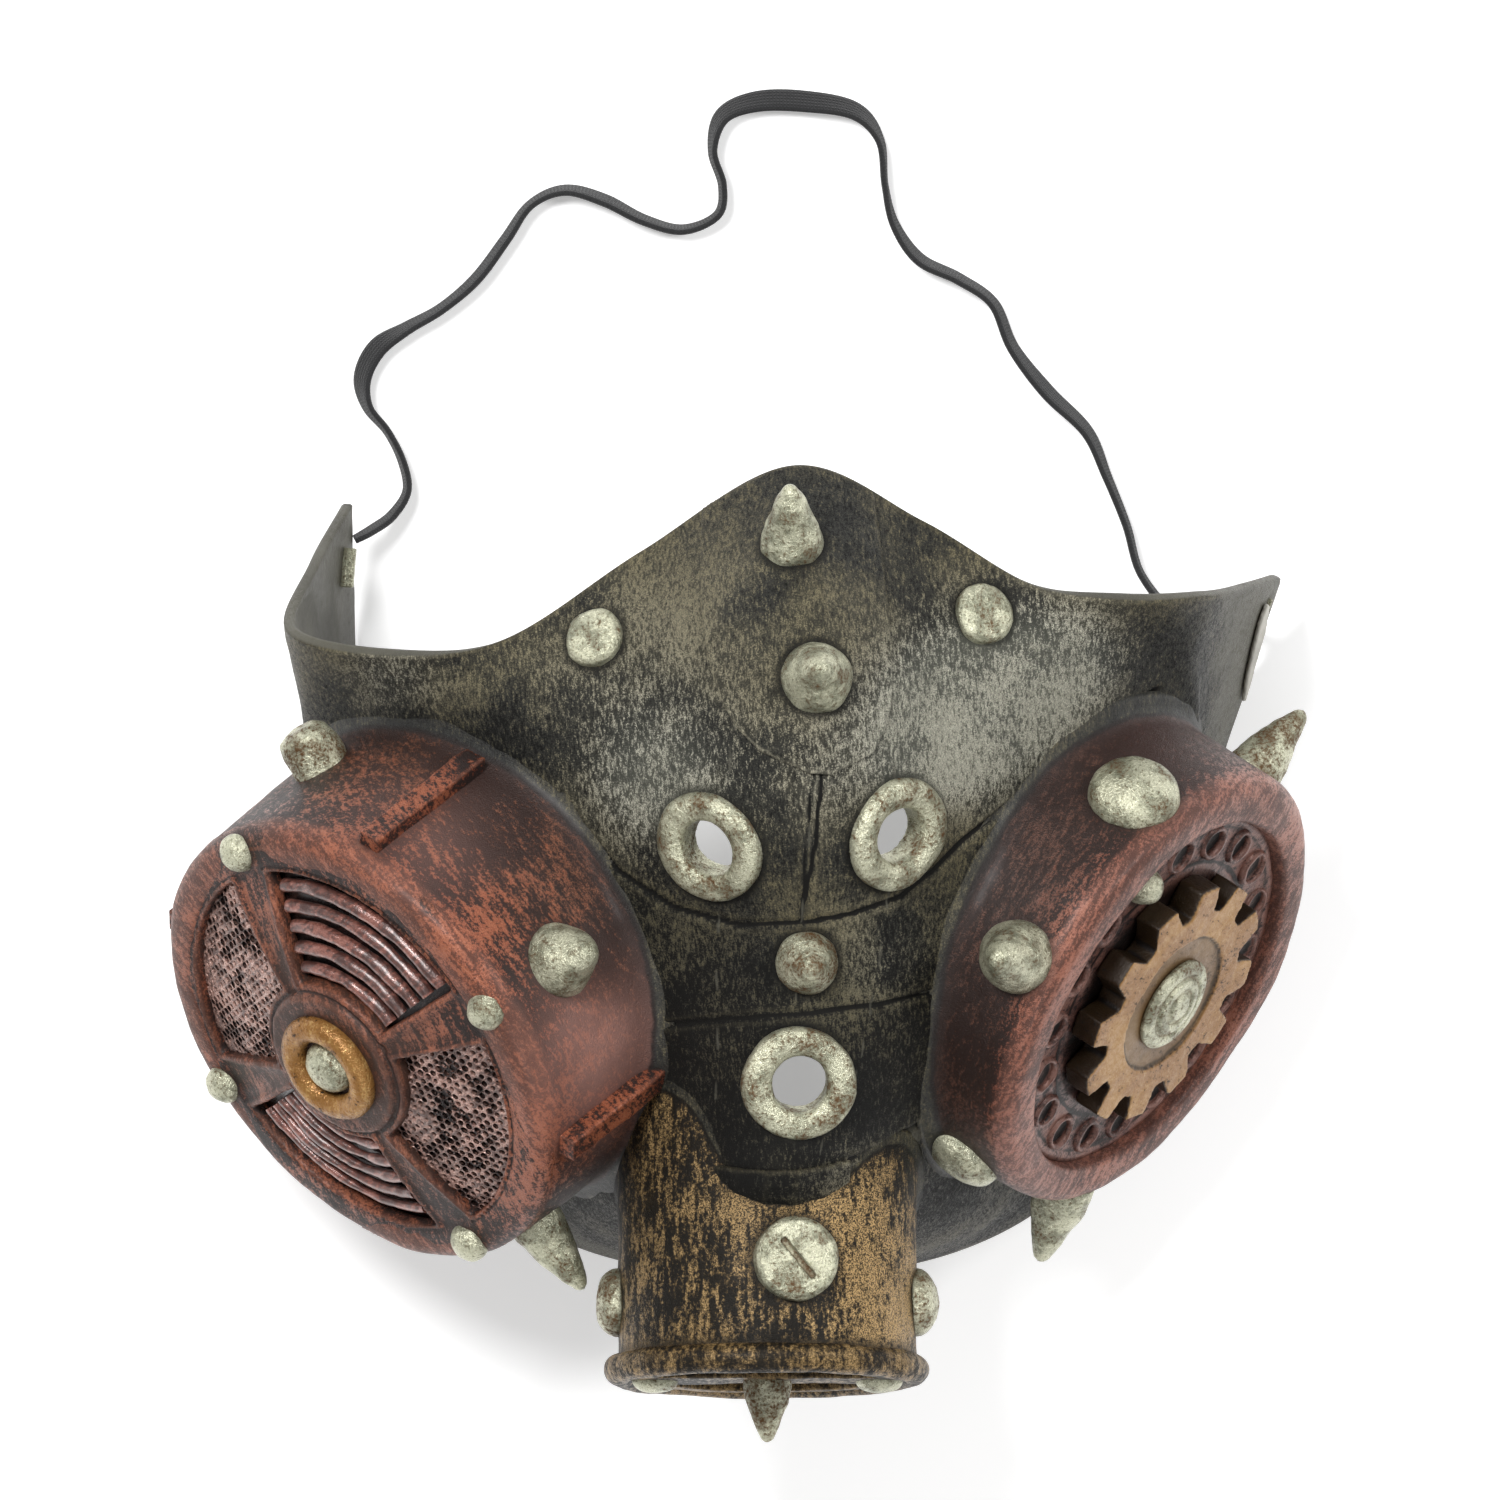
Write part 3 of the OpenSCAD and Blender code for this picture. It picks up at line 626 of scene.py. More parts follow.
def shellNet(look):
    steps = np.arange(look["rows"] + 1)[:, None] / look["rows"]
    straight = lambda ends: np.array(ends[0], float) + np.subtract(ends[1], ends[0]).astype(float) * steps
    columns = [straight(e) for e in look["flapLeft"]] + [np.array(c, float) for c in look["columns"]]
    columns += [straight(e) for e in look["flapRight"]]
    return np.array(columns)


net = shellNet(shellLook)
netWide = ghosted(ghosted(net, 0), 1)


def weights(t):
    return [0.5 * (-t + 2 * t ** 2 - t ** 3), 1 + 0.5 * (-5 * t ** 2 + 3 * t ** 3),
            0.5 * (t + 4 * t ** 2 - 3 * t ** 3), 0.5 * (-t ** 2 + t ** 3)]


def skinAt(s, v):
    i = np.clip(np.floor(s), 0, net.shape[0] - 2).astype(int)
    j = np.clip(np.floor(v), 0, net.shape[1] - 2).astype(int)
    ws, wv = weights(s - i), weights(v - j)
    out = np.zeros((len(s), 3))
    for a in range(4):
        for b in range(4):
            out += netWide[i + a, j + b] * (ws[a] * wv[b])[:, None]
    return out + centring


def skinNormal(s, v, reach=0.02):
    cols, rows = net.shape[0] - 1, net.shape[1] - 1
    along = skinAt(np.minimum(s + reach, cols), v) - skinAt(np.maximum(s - reach, 0), v)
    up = skinAt(s, np.minimum(v + reach, rows)) - skinAt(s, np.maximum(v - reach, 0))
    normal = np.cross(along, up)
    return normal / np.linalg.norm(normal, axis=1)[:, None]


def lineDistance(points, line):
    best = np.full(len(points), 1e9)
    for a, b in zip(line[:-1], line[1:]):
        a, b = np.array(a, float), np.array(b, float)
        t = np.clip((points - a) @ (b - a) / ((b - a) @ (b - a)), 0, 1)
        best = np.minimum(best, np.linalg.norm(points - a - t[:, None] * (b - a), axis=1))
    return best


def blobs(flat, spots):
    total = np.zeros(len(flat))
    for x, y, reach, strength in spots:
        total += strength * np.exp(-((flat[:, 0] - x) ** 2 + (flat[:, 1] - y) ** 2) / (2 * reach ** 2))
    return total


def markZones(obj):
    flat = readPoints(obj.data)[:, :2] / mm
    # painted light on the latex: highlight and sheen in the lit patches, shade in the deep ones
    setMark(obj, "lit", blobs(flat, shellLook["lit"]))
    setMark(obj, "deep", blobs(flat, shellLook["deep"]))


def spread(parts):
    return np.unique(np.concatenate([np.linspace(a, b, n + 1) for a, b, n in parts]))


def grommetFrames():
    found = []
    for mount in frame["record"]["mounts"]:
        if mount["kind"] == "bore":
            found.append((np.array(mount["pos_m"]) / mm, np.array(mount["axis"])))
    return found


def makeShell(look):
    sLine, vLine = spread(look["acrossSteps"]), spread(look["upSteps"])
    ni, nj = len(sLine), len(vLine)
    s, v = [g.ravel() for g in np.meshgrid(sLine, vLine, indexing="ij")]
    skin, normal = skinAt(s, v), skinNormal(s, v)
    lift = np.zeros(len(skin))
    flat = skin[:, :2]
    for line, depth, half in look["seams"]:
        away = lineDistance(flat, line)
        lift += (-depth * np.exp(-(away / half) ** 2) + 0.05 * np.exp(-((away - 1.8 * half) / half) ** 2)) \
            * step(0.15, 0.4, normal[:, 2])
    for k, (size, height) in enumerate(look["lumps"]):
        lift += height * grainOf(skin * mm, size, 4 + k) * step(0, 0.4, v) * step(0, 0.3, look["rows"] - v)
    outer = skin + normal * lift[:, None]
    outer[:, 2] = np.maximum(outer[:, 2], 0)
    index = np.arange(ni * nj).reshape(ni, nj)
    faces = np.stack([index[:-1, :-1], index[1:, :-1], index[1:, 1:], index[:-1, 1:]], -1)
    faces = faces.reshape(-1, 4).tolist()
    border = np.concatenate([index[0, :-1], index[:-1, -1], index[-1, :0:-1], index[:0:-1, 0]])
    # the cut edge is rounded over in three rings, then the inside follows on a wider grid
    points = [outer]
    outward = np.zeros_like(skin)
    for edge, inside in ((index[0], index[1]), (index[-1], index[-2]), (index[:, 0], index[:, 1]),
                         (index[:, -1], index[:, -2])):
        push = skin[edge] - skin[inside]
        outward[edge] += push / np.linalg.norm(push, axis=1)[:, None]
    rings = [border]
    total = len(skin)
    for drop, out in ((0.25, 0.3), (0.75, 0.3), (1.0, 0.0)):
        sideways, under = out * look["wall"] * 0.35, drop * look["wall"]
        ring = outer[border] + outward[border] * sideways - normal[border] * under
        ring[:, 2] = np.maximum(ring[:, 2], 0)
        points.append(ring)
        rings.append(np.arange(total, total + len(border)))
        total += len(border)
    n = len(border)
    for high, low in zip(rings[:-1], rings[1:]):
        for k in range(n):
            faces.append((high[k], high[(k + 1) % n], low[(k + 1) % n], low[k]))
    innerAt = {int(b): int(r) for b, r in zip(border, rings[-1])}
    gi = sorted(set(range(0, ni, look["innerStride"])) | {ni - 1})
    gj = sorted(set(range(0, nj, look["innerStride"])) | {nj - 1})
    extra = []
    for i in gi[1:-1]:
        for j in gj[1:-1]:
            innerAt[int(index[i, j])] = total + len(extra)
            extra.append(skin[index[i, j]] - normal[index[i, j]] * look["wall"])
    extra = np.array(extra)
    extra[:, 2] = np.maximum(extra[:, 2], 0)
    points.append(extra)
    for a in range(len(gi) - 1):
        for b in range(len(gj) - 1):
            i0, i1, j0, j1 = gi[a], gi[a + 1], gj[b], gj[b + 1]
            left = index[i0, j0:j1 + 1] if i0 == 0 else index[i0, [j0, j1]]
            top = index[i0:i1 + 1, j1] if j1 == nj - 1 else index[[i0, i1], j1]
            right = index[i1, j0:j1 + 1][::-1] if i1 == ni - 1 else index[i1, [j1, j0]]
            bottom = index[i0:i1 + 1, j0][::-1] if j0 == 0 else index[[i1, i0], j0]
            loop = [*left[:-1], *top[:-1], *right[:-1], *bottom[:-1]]
            faces.append([innerAt[int(k)] for k in loop])
    obj = meshOf("latexShell", np.vstack(points) * mm, faces)
    bm = bmesh.new()
    bm.from_mesh(obj.data)
    for place, axis in grommetFrames():
        doomed = []
        for face in bm.faces:
            away = np.array(face.calc_center_median()) / mm - place
            height = away @ axis
            if abs(height) < 9 and np.linalg.norm(away - height * axis) < look["holeR"]:
                doomed.append(face)
        bmesh.ops.delete(bm, geom=doomed, context="FACES")
        edges = [e for e in bm.edges if e.is_boundary]
        bmesh.ops.bridge_loops(bm, edges=edges)
    bmesh.ops.triangulate(bm, faces=[f for f in bm.faces if len(f.verts) > 4])
    bmesh.ops.recalc_face_normals(bm, faces=bm.faces)
    openEdges = sum(1 for e in bm.edges if e.is_boundary)
    bm.to_mesh(obj.data)
    bm.free()
    tree = BVHTree.FromPolygons((skin * mm).tolist(), faces[:(ni - 1) * (nj - 1)])
    # where the latex is left unpainted: the inside, the cut edge and the ends of the flaps
    place = readPoints(obj.data)
    raw = np.zeros(len(place))
    raw[:len(skin)] = np.maximum(1 - step(1.5, 2.7, s + 0.15 * np.sin(v * 5)),
                                 step(9.7, 10.5, s + 0.15 * np.sin(v * 4)))
    raw[:len(skin)] = np.maximum(raw[:len(skin)], (1 - step(0.25, 0.9, v)) * 0.7)
    raw[len(skin):] = 1
    setMark(obj, "raw", raw)
    markRelief(obj, 7, 0.3)
    markZones(obj)
    markContact(obj, look["standing"])
    print("stage: shell", len(obj.data.polygons), "faces, open edges", openEdges)
    return obj, tree


def followShell(obj):
    # the same lumps as the shell, so that what lies on it stays on it
    points = readPoints(obj.data)
    lift = sum(height * grainOf(points, size, 4 + k) for k, (size, height) in enumerate(shellLook["lumps"]))
    normals = np.array([skinTree.find_nearest(Vector(p))[1] for p in points])
    writePoints(obj.data, points + normals * lift[:, None] * mm)


shellPaint = {
    "paint": {
        "Base": (0.040, 0.037, 0.026), "Shade": (0.020, 0.020, 0.017), "Wash": (0.0035, 0.0033, 0.0028),
        "Dry": (0.34, 0.285, 0.15), "Wash Amount": 0.2, "Dry Amount": 0.28, "Grain Scale": 1700.0,
        "Patch Scale": 40.0, "Sheen": 0.46},
    "bump": 0.36, "metal": 0.15, "gloss": 0.22, "coat": 0.0, "stroke": (4, (1, 3.2, 2))}


def shellMaterial(name, look, rawColour=(0.105, 0.10, 0.078)):
    material, tree, shader = newMaterial(name)
    values = dict(look["paint"])
    lit, deep = attributeOf(tree, "lit"), attributeOf(tree, "deep")
    values["Relief"] = attributeOf(tree, "relief")
    # painted contact shade round the grommets, spikes and studs that stand on the latex
    values["Contact Shade"] = attributeOf(tree, "contactShade")
    values["Along"] = objectPlace(tree, *look["stroke"])
    # painted highlight: paler and more dry brushing over the lit patches, less over the deep ones
    values["Dry"] = blendOf(tree, ramp(tree, lit, 0.1, 0.9), look["paint"]["Dry"], (0.60, 0.58, 0.47))
    values["Dry Amount"] = calc(tree, "ADD", look["paint"]["Dry Amount"],
                                calc(tree, "SUBTRACT", calc(tree, "MULTIPLY", lit, 0.5),
                                     calc(tree, "MULTIPLY", deep, 0.13)))
    # painted shade: more dark wash in the deep patches, less in the lit ones
    values["Wash Amount"] = calc(tree, "ADD", look["paint"]["Wash Amount"],
                                 calc(tree, "SUBTRACT", calc(tree, "MULTIPLY", deep, 0.3),
                                      calc(tree, "MULTIPLY", lit, 0.35)))
    node = placeGroup(tree, paintGroup, values)
    # painted sheen: a silvery cast over the lit patches
    paintedSheen = calc(tree, "MULTIPLY", ramp(tree, lit, 0.55, 1.15), 0.3)
    colour = blendOf(tree, paintedSheen, node.outputs["Color"], (0.17, 0.175, 0.14))
    raw = attributeOf(tree, "raw")
    straight = objectPlace(tree)
    cloud = grain(tree, straight, 55, 4)
    latex = blendOf(tree, ramp(tree, cloud, 0.35, 0.65), rawColour, tuple(0.72 * c for c in rawColour))
    rawMask = calc(tree, "MULTIPLY", raw, ramp(tree, calc(tree, "ADD", raw, calc(tree, "MULTIPLY", calc(
        tree, "SUBTRACT", grain(tree, straight, 420, 4), 0.5), 0.9)), 0.3, 0.62), True)
    tree.links.new(blendOf(tree, rawMask, colour, latex), shader.inputs["Base Color"])
    tree.links.new(node.outputs["Roughness"], shader.inputs["Roughness"])
    bumpFrom(tree, shader, node.outputs["Height"], look["bump"])
    shader.inputs["Metallic"].default_value = look["metal"]
    shader.inputs["Specular IOR Level"].default_value = look["gloss"]
    shader.inputs["Coat Weight"].default_value = look["coat"]
    shader.inputs["Coat Roughness"].default_value = 0.35
    return material


shell, skinTree = makeShell(shellLook)
latexPaint = shellMaterial("brushedLatex", shellPaint)
finishPiece(shell, "mask", latexPaint, "latex_shell", "face_shell")

trimLook = {"voxel": 0.5, "soft": 4, "lumps": []}
for node, name in (("nose_patch", "nosePatch"), ("chin_tab", "chinTab")):
    trim = softCopy(node, name, trimLook, 5)
    followShell(trim)
    markRelief(trim, 7, 0.2)
    markZones(trim)
    markContact(trim, shellLook["standing"])
    finishPiece(trim, "mask", latexPaint, "latex_trim", node)
print("stage: nose patch and chin tab")

# drums, each running into the shell with a moulded fillet
meshFace = faceFrame((-76.9, -18.6, 86), 55, 218)
gearFace = faceFrame((84.7, -8.4, 67.5), 65, -32)
snoutFace = faceFrame((5.7, -86.4, 78), 83.5, -90)
# the spots listed for each drum, as X, Y, reach, strength, are painted highlight
drumLooks = {
    "meshDrum": {"frame": meshFace, "radius": 50.3, "fillet": 5, "columns": 300, "rowStep": 1.2,
                 "lip": [(42.3, -1.8), (42.5, -0.3), (43.2, 0.2), (44.6, 0.25), (46.4, 0.2), (47.9, -0.25),
                         (49.2, -1.2), (49.9, -2.5), (50.2, -4.2)],
                         "lumps": [(34, 0.8), (12, 0.35), (3.5, 0.1)],
                 "rosy": [(-27, -16, 8, 1.0), (-30, -30, 6, 0.5), (-62, 24, 9, 0.3)],
                 "standing": ["mesh_drum_ribs", "mesh_drum_cone", "mesh_drum_rear_stud", "mesh_drum_spike"]},
    "gearDrum": {"frame": gearFace, "radius": 48.6, "fillet": 5, "columns": 300, "rowStep": 1.2,
                 "lip": [(39.2, -5.6), (39.4, -3.4), (39.5, -1.4), (39.8, -0.3), (40.5, 0.1), (42, 0.15),
                         (44, 0.2), (45.6, 0.0), (46.9, -0.6), (47.9, -1.7), (48.4, -3.2)],
                 "lumps": [(34, 0.8), (12, 0.3), (3.5, 0.1)],
                 "rosy": [(86, 46, 9, 0.4), (56, -40, 8, 0.3)],
                 "standing": ["gear_drum_dome", "gear_drum_cone", "gear_drum_low_dome",
                              "gear_drum_side_spike",
                              "gear_drum_chin_spike"]},
    "snoutDrum": {"frame": snoutFace, "radius": 29.9, "fillet": 5, "columns": 200, "rowStep": 1.1,
                  "lip": [(27.6, -5.4), (27.8, -3.8), (28.6, -3.4), (29.5, -3.6), (29.8, -5)],
                  "lumps": [(26, 0.5), (9, 0.3), (3.5, 0.08)], "rosy": [(26, -60, 9, 0.8), (30, -78, 7, 0.7)],
                  "standing": ["snout_side_studs", "snout_screw", "snout_rim"]}}


def makeDrum(name, look, tree):
    matrix, radius, n = look["frame"], look["radius"], look["columns"]
    turn = np.linspace(0, 2 * math.pi, n, endpoint=False)
    ring = np.stack([np.cos(turn), np.sin(turn)], 1)
    down = Vector(toWorld(matrix, [(0, 0, -1)])[0] - toWorld(matrix, [(0, 0, 0)])[0]).normalized()
    depth = np.full(n, np.nan)
    for k, (c, s) in enumerate(ring):
        start = Vector(toWorld(matrix, [(radius * c, radius * s, -3)])[0])
        hit = tree.ray_cast(start, down)
        if hit[0] is not None:
            depth[k] = (hit[0] - start).length / mm + 3
    known = ~np.isnan(depth)
    depth = np.interp(turn, turn[known], depth[known], period=2 * math.pi)
    for _ in range(12):
        depth = (np.roll(depth, 1) + 2 * depth + np.roll(depth, -1)) / 4
    print("   ", name, "depth to the skin", round(depth.min(), 1), round(depth.max(), 1), "seen",
          int(known.sum()))
    lip = look["lip"]
    last = -lip[-1][1]
    rows = [toWorld(matrix, [(r * c, r * s, z) for c, s in ring]) for r, z in lip]
    count = int((np.median(depth) - last) / look["rowStep"])
    stop = np.maximum(depth - look["fillet"], last + 1)
    for k in range(1, count + 1):
        t = k / count
        wallRow = [(radius * c, radius * s, -(last + (e - last) * t)) for (c, s), e in zip(ring, stop)]
        rows.append(toWorld(matrix, wallRow))
    start = rows[-1]
    corner = toWorld(matrix, [(radius * c, radius * s, -d) for (c, s), d in zip(ring, depth)])
    reach = toWorld(matrix, [((radius + look["fillet"]) * c, (radius + look["fillet"]) * s, -d)
                             for (c, s), d in zip(ring, depth)])
    foot = []
    for p in reach:
        spot, normal, _, _ = tree.find_nearest(Vector(p))
        foot.append(np.array(spot) - np.array(normal) * 0.35 * mm)
    foot = np.array(foot)
    for _ in range(4):
        foot = (np.roll(foot, 1, 0) + 2 * foot + np.roll(foot, -1, 0)) / 4
    joins = [0.0] * len(rows)
    # painted shade grows row by row down the wall towards the shell
    shadeNearSkinRows = [0.0] * len(lip) + [k / count for k in range(1, count + 1)]
    for t in np.linspace(0, 1, 10)[1:]:
        rows.append(start * (1 - t) ** 2 + 2 * t * (1 - t) * corner + foot * t ** 2)
        joins.append(float(step(0.15, 0.9, t)))
    tuck = np.array([np.array(tree.find_nearest(Vector(p))[0]) for p in corner])
    rows.append(foot * 0.5 + tuck * 0.5 + np.array(down) * 0.8 * mm)
    innerR = radius - 3
    innerRow = [(innerR * c, innerR * s, -d - 0.6) for (c, s), d in zip(ring, depth)]
    rows.append(toWorld(matrix, innerRow))
    rows.append(toWorld(matrix, [((radius - 3) * c, (radius - 3) * s, -last - 2) for c, s in ring]))
    joins += [1.0, 1.0, 0.0]
    shadeNearSkinRows += [1.0] * (len(rows) - len(shadeNearSkinRows))
    count = len(rows)
    faces = [(r * n + k, r * n + (k + 1) % n, (r + 1) % count * n + (k + 1) % n, (r + 1) % count * n + k)
             for r in range(count) for k in range(n)]
    obj = meshOf(name, np.vstack(rows), faces)
    bm = bmesh.new()
    bm.from_mesh(obj.data)
    bmesh.ops.recalc_face_normals(bm, faces=bm.faces)
    bm.to_mesh(obj.data)
    bm.free()
    setMark(obj, "join", np.repeat(joins, n))
    # painted shade: 0 at the lip, 1 where the wall meets the shell
    setMark(obj, "sink", np.repeat(shadeNearSkinRows, n) ** 1.2)
    # painted shade on the side wall below the lip
    setMark(obj, "side", np.repeat(step(0, 0.3, np.array(shadeNearSkinRows)), n))
    roughen(obj, look["lumps"], 7)
    markRelief(obj, 8, 0.5)
    setMark(obj, "relief", readMark(obj, "relief") * (1 - 0.9 * np.repeat(joins, n)))
    markZones(obj)
    flat = readPoints(obj.data)[:, :2] / mm
    # spots of painted highlight
    setMark(obj, "rosy", blobs(flat, look["rosy"]))
    markContact(obj, look["standing"])
    return obj


# copper paint, with painted shade down the drum wall towards the shell and a pink painted highlight
copperLook = {
    "paint": {
        "Base": (0.235, 0.062, 0.029), "Shade": (0.15, 0.037, 0.019), "Wash": (0.009, 0.0055, 0.0045),
        "Dry": (0.40, 0.15, 0.075), "Wash Amount": 0.44, "Dry Amount": 0.4, "Grain Scale": 950.0,
        "Patch Scale": 44.0, "Sheen": 0.4},
    "bump": 0.38, "metal": 0.2, "gloss": 0.45, "coat": 0.12, "stroke": (-52, (4, 1, 2)),
    "driven": [("Wash Amount", "sink", 0.5)],
    "tints": [("rosy", (0.56, 0.29, 0.24), 0.85, 0.4), ("sink", (0.03, 0.012, 0.008), 0.4, 0.4)]}
# the gear drum's copper: a pink painted highlight, painted shade down the wall, and the side wall darkened
# almost to black brown as painted shade
gearCopperLook = dict(copperLook, stroke=(62, (4.5, 1, 2)), paint=dict(copperLook["paint"], **{
    "Base": (0.225, 0.072, 0.042), "Shade": (0.155, 0.046, 0.028), "Wash Amount": 0.4,
    "Dry": (0.40, 0.18, 0.12)}),
    driven=[("Wash Amount", "sink", 0.9)], tints=[("rosy", (0.43, 0.215, 0.18), 0.6, 0.45),
                                                  ("side", (0.018, 0.0065, 0.004), 1.0, 0.42)])
# bronze paint: more wash down the wall as painted shade, more dry brushing on the spots of painted highlight
bronzeLook = {
    "paint": {
        "Base": (0.085, 0.054, 0.021), "Shade": (0.040, 0.027, 0.013), "Wash": (0.006, 0.005, 0.0035),
        "Dry": (0.44, 0.29, 0.125), "Wash Amount": 0.32, "Dry Amount": 0.5, "Grain Scale": 760.0,
        "Patch Scale": 50.0, "Sheen": 0.4},
    "bump": 0.38, "metal": 0.3, "gloss": 0.24, "coat": 0.03, "stroke": (2, (1, 4.5, 2)),
    "driven": [("Wash Amount", "sink", 0.8), ("Dry Amount", "rosy", 0.7)]}
copper = paintMaterial("wornCopper", copperLook)
bronze = paintMaterial("brushedBronze", bronzeLook)
meshDrumFinish = paintMaterial("meshDrumCopper", dict(copperLook, below=("join", shellPaint)))
gearDrumFinish = paintMaterial("gearDrumCopper", dict(gearCopperLook, below=("join", shellPaint)))
snoutDrumFinish = paintMaterial("snoutDrumBronze", dict(bronzeLook, below=("join", shellPaint)))
for node, name, material, slotName in (("mesh_drum", "meshDrum", meshDrumFinish, "copper_paint"),
                                       ("gear_drum", "gearDrum", gearDrumFinish, "copper_paint"),
                                       ("snout_drum", "snoutDrum", snoutDrumFinish, "bronze_paint")):
    finishPiece(makeDrum(name, drumLooks[name], skinTree), "mask", material, slotName, node)
print("stage: drums")

# Geometry Nodes for what repeats


def nodeTree(name, inputs):
    tree = bpy.data.node_groups.new(name, "GeometryNodeTree")
    tree.interface.new_socket(name="Geometry", in_out="INPUT", socket_type="NodeSocketGeometry")
    kinds = {"size": "NodeSocketFloat", "count": "NodeSocketInt", "object": "NodeSocketObject",
             "material": "NodeSocketMaterial"}
    for label, kind in inputs:
        tree.interface.new_socket(name=label, in_out="INPUT", socket_type=kinds[kind])
    tree.interface.new_socket(name="Geometry", in_out="OUTPUT", socket_type="NodeSocketGeometry")
    return tree, tree.nodes.new("NodeGroupInput"), tree.nodes.new("NodeGroupOutput")


def link(tree, a, b):
    tree.links.new(a, b)


def addNode(tree, kind, links=(), **values):
    node = tree.nodes.new(kind)
    for label, value in values.items():
        setattr(node, label, value)
    for label, value in links:
        socket = node.inputs[label]
        if isinstance(value, bpy.types.NodeSocket):
            tree.links.new(value, socket)
        else:
            socket.default_value = value
    return node


def closeTree(tree, given, out, geometry):
    real = addNode(tree, "GeometryNodeRealizeInstances", [("Geometry", geometry)])
    paint = addNode(tree, "GeometryNodeSetMaterial", [("Geometry", real.outputs[0]),
        ("Material", given.outputs["Material"])])
    link(tree, paint.outputs[0], out.inputs[0])


def growPiece(name, tree, values, matrix):
    # runs a tree on an empty mesh, then keeps the result as a plain mesh in place
    obj = addObject(name, bpy.data.meshes.new(name))
    modifier = obj.modifiers.new("grow", "NODES")
    modifier.node_group = tree
    for item in tree.interface.items_tree:
        if item.in_out == "INPUT" and item.name in values:
            modifier[item.identifier] = values[item.name]
    applyModifiers(obj)
    obj.data.transform(matrix)
    return obj


